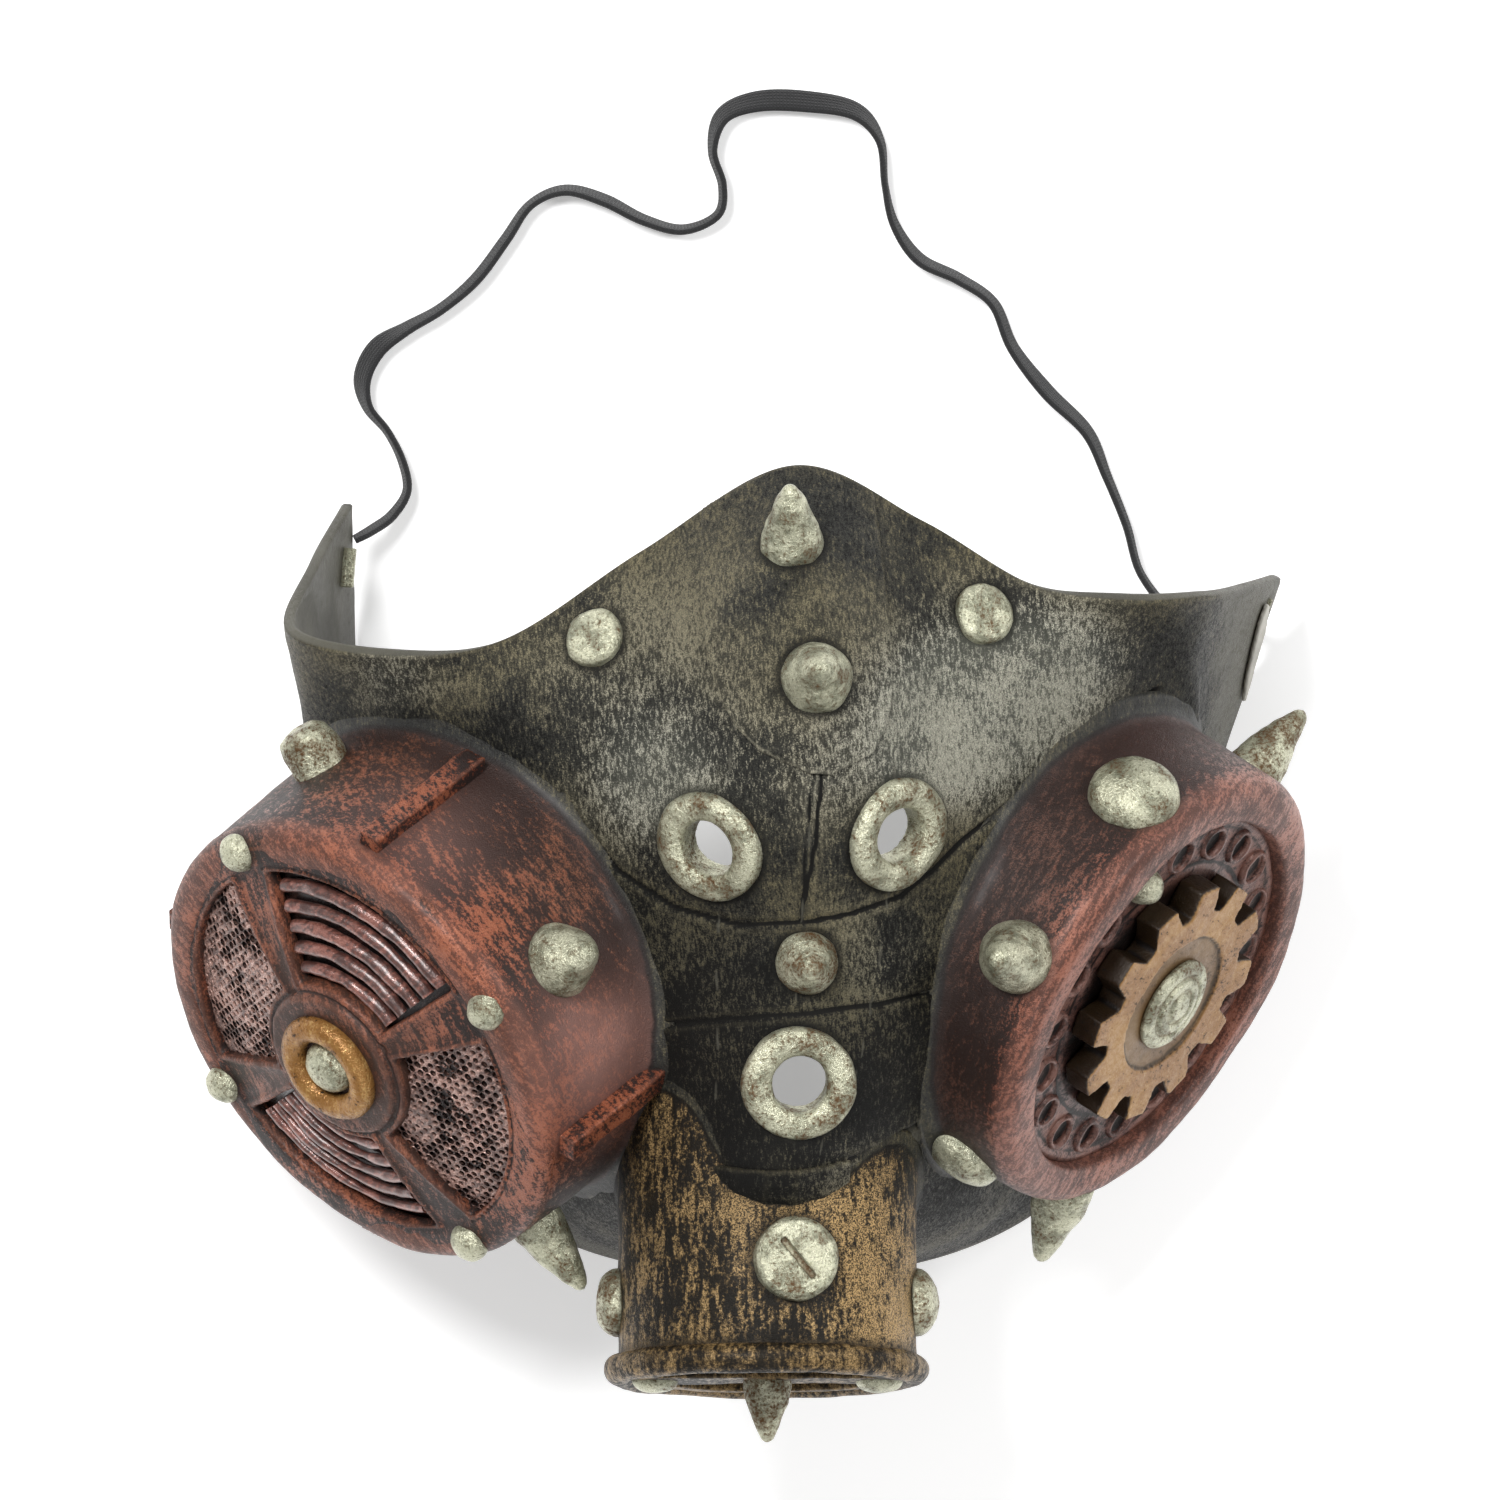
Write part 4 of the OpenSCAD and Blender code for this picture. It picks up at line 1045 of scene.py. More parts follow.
def perforatedTree():
    # cells of pierced sheet in staggered rows, kept inside a pair of opposite sectors or a ring
    tree, given, out = nodeTree("perforatedSheet", [
        ("Cell", "object"), ("Pitch", "size"), ("Half Size", "size"), ("Inner", "size"), ("Outer", "size"),
        ("Side X", "size"), ("Side Y", "size"), ("Sector", "size"), ("Level", "size"), ("Uneven", "size"),
        ("Seed", "count"), ("Material", "material")])
    g = given.outputs
    rowPitch = addNode(tree, "ShaderNodeMath", [(0, g["Pitch"]), (1, math.sqrt(3) / 2)], operation="MULTIPLY")
    span = addNode(tree, "ShaderNodeMath", [(0, g["Half Size"]), (1, 2.0)], operation="MULTIPLY")
    countX = addNode(tree, "ShaderNodeMath", [(0, span.outputs[0]), (1, g["Pitch"])], operation="DIVIDE")
    countY = addNode(tree, "ShaderNodeMath", [(0, span.outputs[0]), (1, rowPitch.outputs[0])],
                     operation="DIVIDE")
    wholeX = addNode(tree, "ShaderNodeMath", [(0, countX.outputs[0])], operation="FLOOR")
    wholeY = addNode(tree, "ShaderNodeMath", [(0, countY.outputs[0])], operation="FLOOR")
    sizeX = addNode(tree, "ShaderNodeMath", [(0, wholeX.outputs[0]), (1, g["Pitch"])], operation="MULTIPLY")
    sizeY = addNode(tree, "ShaderNodeMath", [(0, wholeY.outputs[0]), (1, rowPitch.outputs[0])],
                    operation="MULTIPLY")
    moreX = addNode(tree, "ShaderNodeMath", [(0, wholeX.outputs[0]), (1, 1.0)], operation="ADD")
    moreY = addNode(tree, "ShaderNodeMath", [(0, wholeY.outputs[0]), (1, 1.0)], operation="ADD")
    grid = addNode(tree, "GeometryNodeMeshGrid", [
        ("Size X", sizeX.outputs[0]), ("Size Y", sizeY.outputs[0]), ("Vertices X", moreX.outputs[0]),
        ("Vertices Y", moreY.outputs[0])])
    place = addNode(tree, "GeometryNodeInputPosition")
    parts = addNode(tree, "ShaderNodeSeparateXYZ", [(0, place.outputs[0])])
    row = addNode(tree, "ShaderNodeMath", [(0, parts.outputs[1]), (1, rowPitch.outputs[0])],
                  operation="DIVIDE")
    whole = addNode(tree, "ShaderNodeMath", [(0, row.outputs[0]), (1, 0.25)], operation="ADD")
    whole = addNode(tree, "ShaderNodeMath", [(0, whole.outputs[0])], operation="FLOOR")
    odd = addNode(tree, "ShaderNodeMath", [(0, whole.outputs[0]), (1, 2.0)], operation="FLOORED_MODULO")
    aside = addNode(tree, "ShaderNodeMath", [(0, odd.outputs[0]), (1, g["Pitch"])], operation="MULTIPLY")
    aside = addNode(tree, "ShaderNodeMath", [(0, aside.outputs[0]), (1, 0.5)], operation="MULTIPLY")
    shift = addNode(tree, "ShaderNodeCombineXYZ", [(0, aside.outputs[0]), (2, g["Level"])])
    moved = addNode(tree, "GeometryNodeSetPosition", [("Geometry", grid.outputs[0]),
        ("Offset", shift.outputs[0])])
    away = addNode(tree, "ShaderNodeVectorMath", [(0, place.outputs[0])], operation="LENGTH")
    axis = addNode(tree, "ShaderNodeCombineXYZ", [(0, g["Side X"]), (1, g["Side Y"])])
    unit = addNode(tree, "ShaderNodeVectorMath", [(0, place.outputs[0])], operation="NORMALIZE")
    facing = addNode(tree, "ShaderNodeVectorMath", [(0, unit.outputs[0]), (1, axis.outputs[0])],
                     operation="DOT_PRODUCT")
    turned = addNode(tree, "ShaderNodeMath", [(0, facing.outputs["Value"])], operation="ABSOLUTE")
    tooNear = addNode(tree, "FunctionNodeCompare", [(0, away.outputs["Value"]), (1, g["Inner"])],
                      operation="LESS_THAN")
    tooFar = addNode(tree, "FunctionNodeCompare", [(0, away.outputs["Value"]), (1, g["Outer"])],
                     operation="GREATER_THAN")
    offSide = addNode(tree, "FunctionNodeCompare", [(0, turned.outputs[0]), (1, g["Sector"])],
                      operation="LESS_THAN")
    either = addNode(tree, "FunctionNodeBooleanMath", [(0, tooNear.outputs[0]), (1, tooFar.outputs[0])],
                     operation="OR")
    every = addNode(tree, "FunctionNodeBooleanMath", [(0, either.outputs[0]), (1, offSide.outputs[0])],
                    operation="OR")
    kept = addNode(tree, "GeometryNodeDeleteGeometry", [("Geometry", moved.outputs[0]),
        ("Selection", every.outputs[0])])
    cell = addNode(tree, "GeometryNodeObjectInfo", [("Object", g["Cell"])])
    more = addNode(tree, "ShaderNodeMath", [(0, 1.0), (1, g["Uneven"])], operation="ADD")
    less = addNode(tree, "ShaderNodeMath", [(0, 1.0), (1, g["Uneven"])], operation="SUBTRACT")
    wobble = addNode(tree, "FunctionNodeRandomValue", [
        (2, less.outputs[0]), (3, more.outputs[0]), ("Seed", g["Seed"])], data_type="FLOAT")
    turn = addNode(tree, "FunctionNodeRandomValue", [(2, 0.0), (3, 0.35), ("Seed", g["Seed"])],
                   data_type="FLOAT")
    swing = addNode(tree, "ShaderNodeCombineXYZ", [(2, turn.outputs[1])])
    cells = addNode(tree, "GeometryNodeInstanceOnPoints", [
        ("Points", kept.outputs[0]), ("Instance", cell.outputs["Geometry"]), ("Rotation", swing.outputs[0]),
        ("Scale", wobble.outputs[1])])
    closeTree(tree, given, out, cells.outputs[0])
    return tree


def ringTree():
    # copies of one piece round a circle, leaving out one place
    tree, given, out = nodeTree("roundTheDish", [
        ("Piece", "object"), ("Count", "count"), ("Radius", "size"), ("Left Out", "count"),
        ("Uneven", "size"),
        ("Seed", "count"), ("Material", "material")])
    g = given.outputs
    circle = addNode(tree, "GeometryNodeMeshCircle", [("Vertices", g["Count"]), ("Radius", g["Radius"])])
    index = addNode(tree, "GeometryNodeInputIndex")
    gone = addNode(tree, "FunctionNodeCompare", [(2, index.outputs[0]), (3, g["Left Out"])],
                   data_type="INT", operation="EQUAL")
    kept = addNode(tree, "GeometryNodeDeleteGeometry", [("Geometry", circle.outputs[0]),
        ("Selection", gone.outputs[0])])
    piece = addNode(tree, "GeometryNodeObjectInfo", [("Object", g["Piece"])])
    more = addNode(tree, "ShaderNodeMath", [(0, 1.0), (1, g["Uneven"])], operation="ADD")
    less = addNode(tree, "ShaderNodeMath", [(0, 1.0), (1, g["Uneven"])], operation="SUBTRACT")
    wobble = addNode(tree, "FunctionNodeRandomValue", [
        (2, less.outputs[0]), (3, more.outputs[0]), ("Seed", g["Seed"])], data_type="FLOAT")
    copies = addNode(tree, "GeometryNodeInstanceOnPoints", [
        ("Points", kept.outputs[0]), ("Instance", piece.outputs["Geometry"]), ("Scale", wobble.outputs[1])])
    closeTree(tree, given, out, copies.outputs[0])
    return tree


def louvreTree():
    # concentric bars across one window
    tree, given, out = nodeTree("louvreBars", [
        ("Bars", "count"), ("First Radius", "size"), ("Pitch", "size"), ("Start", "size"), ("Sweep", "size"),
        ("Width", "size"), ("Material", "material")])
    g = given.outputs
    arc = addNode(tree, "GeometryNodeCurveArc", [
        ("Resolution", 64), ("Radius", 1.0), ("Start Angle", g["Start"]), ("Sweep Angle", g["Sweep"])])
    line = addNode(tree, "GeometryNodeMeshLine", [("Count", g["Bars"]), ("Offset", (0, 0, 0))])
    index = addNode(tree, "GeometryNodeInputIndex")
    far = addNode(tree, "ShaderNodeMath", [(0, index.outputs[0]), (1, g["Pitch"]), (2, g["First Radius"])],
                  operation="MULTIPLY_ADD")
    arcs = addNode(tree, "GeometryNodeInstanceOnPoints", [
        ("Points", line.outputs[0]), ("Instance", arc.outputs[0]), ("Scale", far.outputs[0])])
    real = addNode(tree, "GeometryNodeRealizeInstances", [("Geometry", arcs.outputs[0])])
    section = addNode(tree, "GeometryNodeCurvePrimitiveCircle", [("Resolution", 12), ("Radius", g["Width"])])
    bars = addNode(tree, "GeometryNodeCurveToMesh", [
        ("Curve", real.outputs[0]), ("Profile Curve", section.outputs[0]), ("Fill Caps", True)])
    closeTree(tree, given, out, bars.outputs[0])
    return tree


def hiddenShape(name, points, faces):
    obj = meshOf(name, np.array(points) * mm, faces)
    shadeSmooth(obj)
    return obj


def piercedCell(name, look):
    # a six-sided cell with a rounded round hole, closed at the back
    n = 12
    rings = []
    for k in range(n):
        a = 2 * math.pi * k / n
        edge = look["pitch"] / 2 / math.cos(((a + math.pi / 6) % (math.pi / 3)) - math.pi / 6)
        rings.append((a, edge * 1.03))
    points = []
    for share, level in ((1.0, -look["thick"]), (1.0, -0.06), (0.0, 0.0), (-0.18, -0.12),
                         (-0.24, -look["thick"])):
        for a, edge in rings:
            hole = look["hole"] * (1 + share * 0.2) if share <= 0 else edge
            points.append((hole * math.cos(a), hole * math.sin(a), level))
    count = 5
    faces = [(r * n + k, r * n + (k + 1) % n, (r + 1) % count * n + (k + 1) % n, (r + 1) % count * n + k)
             for r in range(count) for k in range(n)]
    return hiddenShape(name, points, faces)


# mesh canister
meshLook = {
    "cover": {"voxel": 0.62, "soft": 4, "lumps": [(20, 0.35), (6, 0.14), (2.5, 0.06)]},
    "windows": (32, 122, 212, 302), "inner": 18, "outer": 41, "half": 36, "borderHeight": 0.75,
    "borderReach": 1.1,
    "pierced": {"pitch": 1.85, "hole": 0.67, "thick": 1.1},
    "bars": {"count": 5, "first": 20.6, "pitch": 4.25, "sweep": 67, "width": 1.25, "level": -2.7},
    "crown": 7, "crownR": 44}


def crownAt(radius):
    return meshLook["crown"] * (1 - (np.minimum(radius, meshLook["crownR"]) / meshLook["crownR"]) ** 2)


def crownUp(obj, matrix):
    local = toLocal(matrix, readPoints(obj.data))
    local[:, 2] += crownAt(np.hypot(local[:, 0], local[:, 1]))
    writePoints(obj.data, toWorld(matrix, local))


def makeCover(look, matrix):
    obj = softCopy("mesh_cover", "meshCover", look["cover"], 11)
    points = readPoints(obj.data)
    local = toLocal(matrix, points)
    radius = np.hypot(local[:, 0], local[:, 1])
    angle = np.degrees(np.arctan2(local[:, 1], local[:, 0]))
    lift = np.zeros(len(points))
    for middle in look["windows"]:
        off = np.abs((angle - middle + 180) % 360 - 180)
        sideways = (off - look["half"]) * np.radians(1) * radius
        inward = look["inner"] - radius
        outward = radius - look["outer"]
        away = np.maximum(np.maximum(sideways, inward), outward)
        bump = np.exp(-((away - 0.7) / look["borderReach"]) ** 2) * look["borderHeight"]
        lift = np.maximum(lift, np.where(away > -0.4, bump, 0))
    above = local[:, 2] - crownAt(radius)
    lift *= step(-2.2, -1.2, above) * (radius < 42)
    groove = -0.5 * np.exp(-((radius - 16.4) / 0.7) ** 2) * step(-1.6, -1.0, above)
    local[:, 2] += lift + groove
    writePoints(obj.data, toWorld(matrix, local))
    markRelief(obj, 7, 0.3)
    # painted shade: darker towards the hub, not on the raised borders
    setMark(obj, "dusk", (1 - step(20, 40, radius)) * (1 - step(0.2, 0.6, lift)))
    markContact(obj, ["mesh_hub_ring", "mesh_hub_dome", "mesh_cover_rivets"])
    return obj


# the cover's copper, with painted shade round the hub
coverPaint = dict(copperLook, stroke=(-70, (5, 1, 2)), paint=dict(copperLook["paint"], **{
    "Base": (0.225, 0.068, 0.037), "Shade": (0.135, 0.04, 0.023), "Wash Amount": 0.46}), driven=[],
    tints=[("dusk", (0.085, 0.037, 0.022), 0.6, 0.4)])
screenPaint = {
    "paint": {
        "Base": (0.18, 0.075, 0.058), "Shade": (0.12, 0.05, 0.038), "Wash": (0.010, 0.007, 0.007),
        "Dry": (0.56, 0.36, 0.30), "Wash Amount": 0.42, "Dry Amount": 0.68, "Grain Scale": 900.0,
        "Patch Scale": 80.0, "Sheen": 0.3},
    "bump": 0.15, "metal": 0.3, "gloss": 0.6, "coat": 0.35}
louvrePaint = {
    "paint": {
        "Base": (0.14, 0.042, 0.031), "Shade": (0.085, 0.026, 0.02), "Wash": (0.008, 0.005, 0.005),
        "Dry": (0.44, 0.20, 0.155), "Wash Amount": 0.4, "Dry Amount": 0.5, "Grain Scale": 800.0,
        "Patch Scale": 90.0, "Sheen": 0.2},
    "bump": 0.2, "metal": 0.2, "gloss": 0.7, "coat": 0.8}
backPaint = dict(louvrePaint, paint=dict(louvrePaint["paint"],
                                         **{"Base": (0.02, 0.010, 0.009), "Shade": (0.012, 0.008, 0.007),
                 "Dry Amount": 0.1}))
copperCover = paintMaterial("coverCopper", coverPaint)
screenFinish = paintMaterial("pierceRose", screenPaint)
louvreFinish = paintMaterial("louvreGloss", louvrePaint)
backFinish = paintMaterial("darkBacking", backPaint)
ringGold = paintMaterial("ringGold", dict(bronzeLook, driven=[], paint=dict(bronzeLook["paint"], **{
    "Base": (0.31, 0.155, 0.045), "Shade": (0.24, 0.11, 0.03), "Dry": (0.50, 0.31, 0.115),
    "Wash Amount": 0.05,
    "Grain Scale": 500.0, "Sheen": 0.28})))
pewter = pewterMaterial("castPewter", pewterLook["stain"])
pewterRusty = pewterMaterial("rustyPewter", pewterLook["rustyStain"])

finishPiece(makeCover(meshLook, meshFace), "mask", copperCover, "copper_paint", "mesh_cover")

pierced = perforatedTree()
rings = ringTree()
louvres = louvreTree()
cellLook = meshLook["pierced"]
cell = piercedCell("meshCell", cellLook)
side = math.radians(meshLook["windows"][1])
screen = growPiece("meshScreen", pierced, {
    "Cell": cell, "Pitch": cellLook["pitch"] * mm, "Half Size": 43 * mm, "Inner": 15.5 * mm,
    "Outer": 43.5 * mm,
    "Side X": math.cos(side), "Side Y": math.sin(side), "Sector": math.cos(math.radians(41)),
    "Level": -2.6 * mm,
    "Uneven": 0.04, "Seed": 4, "Material": screenFinish}, meshFace)
crownUp(screen, meshFace)
roughen(screen, [(7, 0.4), (2.2, 0.34)], 9)
markRelief(screen, 4, 0.16)
finishPiece(screen, "mask", screenFinish, "mesh_metal")

backing = softCopy("mesh_screen", "meshBacking", {"voxel": 1.1, "soft": 2, "lumps": [(6, 0.2)]}, 3)
markRelief(backing)
finishPiece(backing, "mask", backFinish, "mesh_metal", "mesh_screen")

bars = meshLook["bars"]
lowered = meshFace @ Matrix.Translation((0, 0, bars["level"] * mm))
both = []
for k in (0, 2):
    both.append(growPiece("bars", louvres, {
        "Bars": bars["count"], "First Radius": bars["first"] * mm, "Pitch": bars["pitch"] * mm,
        "Start": math.radians(meshLook["windows"][k] - bars["sweep"] / 2),
        "Sweep": math.radians(bars["sweep"]),
        "Width": bars["width"] * mm, "Material": louvreFinish}, lowered))


def joined(name, objects):
    bm = bmesh.new()
    for o in objects:
        bm.from_mesh(o.data)
    mesh = bpy.data.meshes.new(name)
    bm.to_mesh(mesh)
    bm.free()
    for o in objects:
        bpy.data.objects.remove(o)
    return addObject(name, mesh)


slats = joined("meshLouvres", both)
crownUp(slats, meshFace)
roughen(slats, [(6, 0.5), (2, 0.15)], 21)
markRelief(slats, 5, 0.2)
finishPiece(slats, "mask", louvreFinish, "louvre_paint", "mesh_louvres")
print("stage: mesh canister front")

# smaller moulded pieces: CAD node, voxel, rounding, lumps, relief height, finish, slot
smallLook = [
    ("mesh_hub_ring", 0.35, 5, [(5, 0.25), (1.6, 0.08)], 0.3, ringGold, "bronze_paint"),
    ("mesh_hub_dome", 0.3, 4, [(3, 0.3), (1.2, 0.08)], 0.15, pewter, "pewter_metal"),
    ("mesh_cover_rivets", 0.3, 4, [(3, 0.45), (1.2, 0.1)], 0.15, pewter, "pewter_metal"),
    ("mesh_drum_ribs", 0.42, 3, [(9, 0.6), (3, 0.2)], 0.22, copper, "copper_paint"),
    ("mesh_drum_cone", 0.4, 7, [(6, 0.7), (2, 0.15)], 0.2, pewter, "pewter_metal"),
    ("mesh_drum_rear_stud", 0.4, 4, [(5, 0.7), (2, 0.2)], 0.2, pewterRusty, "pewter_metal"),
    ("mesh_drum_spike", 0.4, 4, [(5, 0.7), (2, 0.2)], 0.2, pewter, "pewter_metal"),
    ("gear_hub_cap", 0.22, 2, [(4, 0.2), (1.2, 0.06)], 0.14, pewter, "pewter_metal"),
    ("dish_stud", 0.28, 4, [(4, 0.5), (1.5, 0.1)], 0.15, pewter, "pewter_metal"),
    ("gear_drum_dome", 0.4, 5, [(7, 0.6), (2, 0.16)], 0.2, pewter, "pewter_metal"),
    ("gear_drum_cone", 0.4, 5, [(6, 0.7), (2, 0.2)], 0.2, pewter, "pewter_metal"),
    ("gear_drum_low_dome", 0.4, 5, [(6, 0.6), (2, 0.2)], 0.2, pewter, "pewter_metal"),
    ("gear_drum_side_spike", 0.4, 4, [(6, 0.8), (2, 0.25)], 0.2, pewterRusty, "pewter_metal"),
    ("gear_drum_chin_spike", 0.4, 4, [(6, 0.8), (2, 0.3)], 0.2, pewter, "pewter_metal"),
    ("snout_rim", 0.5, 5, [(12, 0.6), (4, 0.2)], 0.3, bronze, "bronze_paint"),
    ("snout_end_plate", 0.45, 3, [(8, 0.4), (2, 0.15)], 0.25, bronze, "bronze_paint"),
    ("snout_screw", 0.3, 2, [(5, 0.3), (1.5, 0.08)], 0.18, pewter, "pewter_metal"),
    ("snout_side_studs", 0.4, 4, [(5, 0.6), (2, 0.15)], 0.2, pewterRusty, "pewter_metal"),
    ("snout_face_studs", 0.35, 4, [(4, 0.4), (1.5, 0.1)], 0.2, pewter, "pewter_metal"),
    ("snout_spike", 0.35, 4, [(5, 0.5), (1.8, 0.15)], 0.2, pewterRusty, "pewter_metal"),
    ("nose_spike_upper", 0.4, 5, [(5, 0.9), (2, 0.3)], 0.2, pewter, "pewter_metal"),
    ("nose_spike_lower", 0.4, 6, [(6, 0.8), (2, 0.2)], 0.2, pewter, "pewter_metal"),
    ("lip_stud", 0.4, 8, [(6, 0.6), (2, 0.2)], 0.2, pewterRusty, "pewter_metal"),
    ("cheek_studs", 0.35, 5, [(5, 0.7), (1.6, 0.15)], 0.18, pewter, "pewter_metal"),
    ("strap_staples", 0.25, 1, [], 0.2, pewter, "steel"),
]
lumpShare, seedStep = 0.62, 2.3
for k, (node, voxel, soft, lumps, height, material, slotName) in enumerate(smallLook):
    look = {"voxel": voxel, "soft": soft, "lumps": [(size, lumpShare * high) for size, high in lumps]}
    piece = softCopy(node, camelName(node), look, seedStep * k)
    markRelief(piece, 6, height)
    finishPiece(piece, "mask", material, slotName, node)
grommetLook = {"voxel": 0.4, "soft": 4, "lumps": [(9, 0.4), (3, 0.12), (1.3, 0.05)], "stain": 0.62, "seed": 5}
grommetFinish = pewterMaterial("grommetPewter", grommetLook["stain"])
for k, node in enumerate(("nostril_grommet_right", "nostril_grommet_left", "mouth_grommet")):
    piece = softCopy(node, camelName(node), grommetLook, grommetLook["seed"] + seedStep * k)
    markRelief(piece, 7, 0.25)
    finishPiece(piece, "mask", grommetFinish, "pewter_metal", node)
washers = softCopy("grommet_washers", "grommetWashers", {"voxel": 0.4, "soft": 2, "lumps": [(4, 0.2)]}, 3)
markRelief(washers, 6, 0.2)
finishPiece(washers, "mask", pewterRusty, "pewter_metal", "grommet_washers")
print("stage: studs, spikes, rivets and grommets")

# gear canister front
gearLook = {"voxel": 0.42, "soft": 2, "lumps": [(11, 0.35), (3, 0.14)], "recess": 15.3}
dishLook = {"radius": 39.6, "floor": -3.3, "rows": 60, "columns": 220, "ringR": 33.7, "count": 18,
            "leftOut": 3,
            "ring": {"outer": 4.0, "inner": 2.75, "high": 0.95}}
# the gear's bronze, with painted shade on its tooth flanks
gearPaint = {
    "paint": {
        "Base": (0.33, 0.175, 0.05), "Shade": (0.25, 0.12, 0.033), "Wash": (0.03, 0.015, 0.007),
        "Dry": (0.48, 0.31, 0.14), "Wash Amount": 0.0, "Dry Amount": 0.4, "Grain Scale": 900.0,
        "Patch Scale": 60.0, "Sheen": 0.42},
    "bump": 0.2, "metal": 0.2, "gloss": 0.4, "coat": 0.05, "stroke": (-40, (4, 1, 2)),
    "tints": [("flank", (0.004, 0.0025, 0.0018), 1.0, 0.06), ("sunk", (0.115, 0.085, 0.055), 0.85, 0.3)]}
# dish paint, with near-black painted shade in the well under the gear and inside each ring
dishPaint = {
    "paint": {
        "Base": (0.16, 0.075, 0.057), "Shade": (0.095, 0.042, 0.034), "Wash": (0.006, 0.004, 0.0035),
        "Dry": (0.26, 0.125, 0.095), "Wash Amount": 0.25, "Dry Amount": 0.5, "Grain Scale": 900.0,
        "Patch Scale": 70.0, "Sheen": 0.36},
    "bump": 0.25, "metal": 0.25, "gloss": 0.4, "coat": 0.1, "stroke": (40, (2, 1, 2)),
    "tints": [("dusk", (0.003, 0.002, 0.0018), 1.0, 0.05)]}
gearFinish = paintMaterial("gearBronze", gearPaint)
dishFinish = paintMaterial("dishPurple", dishPaint)

gear = softCopy("gear_wheel", "gearWheel", gearLook, 17)
local = toLocal(gearFace, readPoints(gear.data))
normals = readNormals(gear.data) @ np.array(gearFace)[:3, 2]
radius = np.hypot(local[:, 0], local[:, 1])
markRelief(gear, 6, 0.2)
# painted shade: the tooth flanks and the low parts of the gear near the dish go almost black
setMark(gear, "flank", np.maximum(1 - step(0.55, 0.85, normals), 1 - step(1.6, 2.5, local[:, 2])))
inRecess = 1 - step(gearLook["recess"] - 0.4, gearLook["recess"] + 0.2, radius)
setMark(gear, "sunk", inRecess * step(0.4, 0.8, normals))
finishPiece(gear, "gear", gearFinish, "gear_bronze", "gear_wheel")

ringShape = dishLook["ring"]
outline = [(ringShape["outer"] + 0.3, -0.5), (ringShape["outer"], 0.1),
           (ringShape["outer"] - 0.35, ringShape["high"]),
           (ringShape["inner"] + 0.3, ringShape["high"]), (ringShape["inner"], 0.2),
           (ringShape["inner"] - 0.2, -0.5)]
n, m = 28, len(outline)
ringObject = hiddenShape("dishRing", [(r * math.cos(2 * math.pi * k / n), r * math.sin(2 * math.pi * k / n),
                                       z)
                                      for r, z in outline for k in range(n)],
                         [(a * n + k, a * n + (k + 1) % n, (a + 1) % m * n + (k + 1) % n, (a + 1) % m * n + k)
                          for a in range(m) for k in range(n)])
onFloor = Matrix.Translation((0, 0, dishLook["floor"] * mm))
turnedFace = gearFace @ onFloor @ Matrix.Rotation(math.radians(90), 4, "Z")
dishRings = growPiece("dishRings", rings, {
    "Piece": ringObject, "Count": dishLook["count"], "Radius": dishLook["ringR"] * mm,
    "Left Out": dishLook["leftOut"],
    "Uneven": 0.06, "Seed": 8, "Material": dishFinish}, turnedFace)
roughen(dishRings, [(5, 0.5), (2, 0.2)], 31)
markRelief(dishRings, 5, 0.2)
finishPiece(dishRings, "mask", dishFinish, "dish_paint")


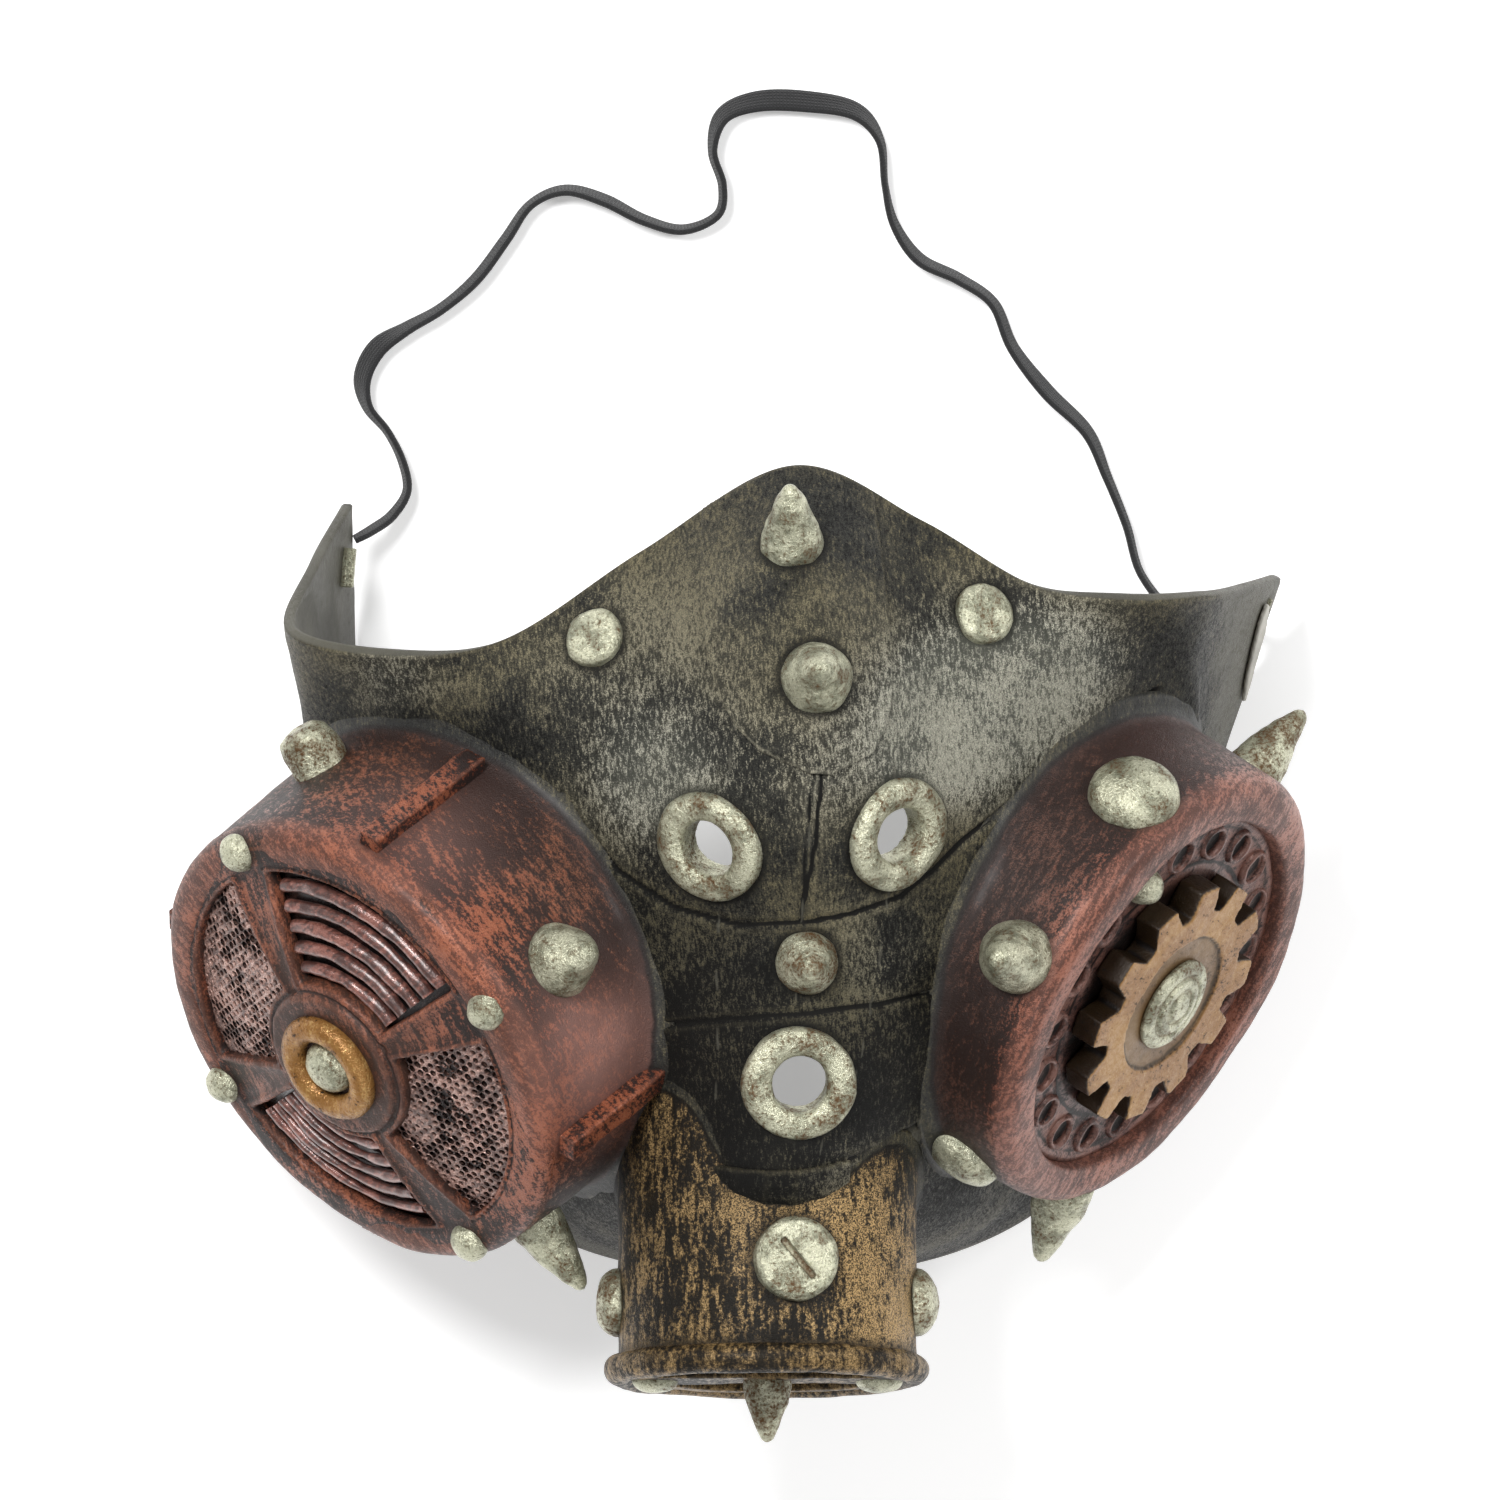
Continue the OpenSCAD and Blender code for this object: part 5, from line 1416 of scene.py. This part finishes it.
def makeDish(look, matrix):
    # the dish floor with its lip, a step under each ring, and painted shade in the well under the gear and
    # inside each ring
    rows, n = look["rows"], look["columns"]
    turn = np.linspace(0, 2 * math.pi, n, endpoint=False)
    radii = np.concatenate([np.linspace(3.0, look["radius"], rows), [look["radius"], 3.0]])
    levels = np.concatenate([np.zeros(rows), [-2.4, -2.4]])
    lipRise = 0.5 * np.exp(-((radii[:rows] - 38.4) / 0.8) ** 2)
    gutterDrop = 0.35 * np.exp(-((radii[:rows] - 29) / 0.8) ** 2)
    levels[:rows] += lipRise - gutterDrop
    points, dusk = [], []
    for r, z in zip(radii, levels):
        for a in turn:
            points.append((r * math.cos(a), r * math.sin(a), look["floor"] + z))
            dusk.append(float(1 - step(24, 30, r)))
    points = np.array(points)
    for k in range(look["count"]):
        a = math.radians(90 + k * 360 / look["count"])
        away = np.hypot(points[:, 0] - look["ringR"] * math.cos(a),
                        points[:, 1] - look["ringR"] * math.sin(a))
        near = 1 - step(look["ring"]["inner"] - 0.6, look["ring"]["inner"] + 0.3, away)
        points[:, 2] -= 0.5 * near * (points[:, 2] > look["floor"] - 1)
        dusk = np.maximum(dusk, near * 0.85)
    count = len(radii)
    faces = [(r * n + k, r * n + (k + 1) % n, (r + 1) % count * n + (k + 1) % n, (r + 1) % count * n + k)
             for r in range(count) for k in range(n)]
    obj = meshOf("gearDish", toWorld(matrix, points), faces)
    bm = bmesh.new()
    bm.from_mesh(obj.data)
    bmesh.ops.recalc_face_normals(bm, faces=bm.faces)
    bm.to_mesh(obj.data)
    bm.free()
    setMark(obj, "dusk", dusk)
    roughen(obj, [(9, 0.3), (3, 0.12)], 13)
    markRelief(obj, 5, 0.18)
    markContact(obj, ["dish_stud"])
    return obj


finishPiece(makeDish(dishLook, gearFace), "mask", dishFinish, "dish_paint", "gear_dish")
axle = frame["nodes"]["gear_axle"]
axle.data.materials.clear()
axle.data.materials.append(pewter)
print("stage: gear canister front")

# snout end
snoutLook = {"pierced": {"pitch": 2.5, "hole": 0.78, "thick": 1.0}}
snoutCell = piercedCell("snoutCell", snoutLook["pierced"])
snoutScreen = growPiece("snoutScreen", pierced, {
    "Cell": snoutCell, "Pitch": snoutLook["pierced"]["pitch"] * mm, "Half Size": 27 * mm, "Inner": 0.1 * mm,
    "Outer": 25.5 * mm, "Side X": 1.0, "Side Y": 0.0, "Sector": 0.0, "Level": -3.6 * mm, "Uneven": 0.04,
    "Seed": 2, "Material": screenFinish}, snoutFace)
roughen(snoutScreen, [(7, 0.4), (2.2, 0.25)], 19)
markRelief(snoutScreen, 5, 0.12)
snoutMesh = paintMaterial("snoutMesh", dict(bronzeLook, driven=[], paint=dict(bronzeLook["paint"], **{
    "Base": (0.10, 0.075, 0.04), "Shade": (0.06, 0.045, 0.025), "Dry": (0.33, 0.26, 0.13)})))
finishPiece(snoutScreen, "mask", snoutMesh, "mesh_metal")
snoutBacking = softCopy("snout_screen", "snoutBacking", {"voxel": 0.9, "soft": 2, "lumps": [(6, 0.15)]}, 3)
markRelief(snoutBacking)
finishPiece(snoutBacking, "mask", backFinish, "mesh_metal", "snout_screen")

# pale worn ovals on the flap ends
patchMaterial = shellMaterial("paleWear", dict(shellPaint), (0.55, 0.53, 0.47))
patches = softCopy("strap_patches", "strapPatches", {"voxel": 0.42, "soft": 3, "lumps": []}, 3)
followShell(patches)
markRelief(patches, 5, 0.2)
setMark(patches, "raw", np.ones(len(patches.data.vertices)))
markZones(patches)
finishPiece(patches, "mask", patchMaterial, "bare_latex_patch", "strap_patches")
for o in (cell, snoutCell, ringObject):
    bpy.data.objects.remove(o)
print("stage: snout end and flap patches")
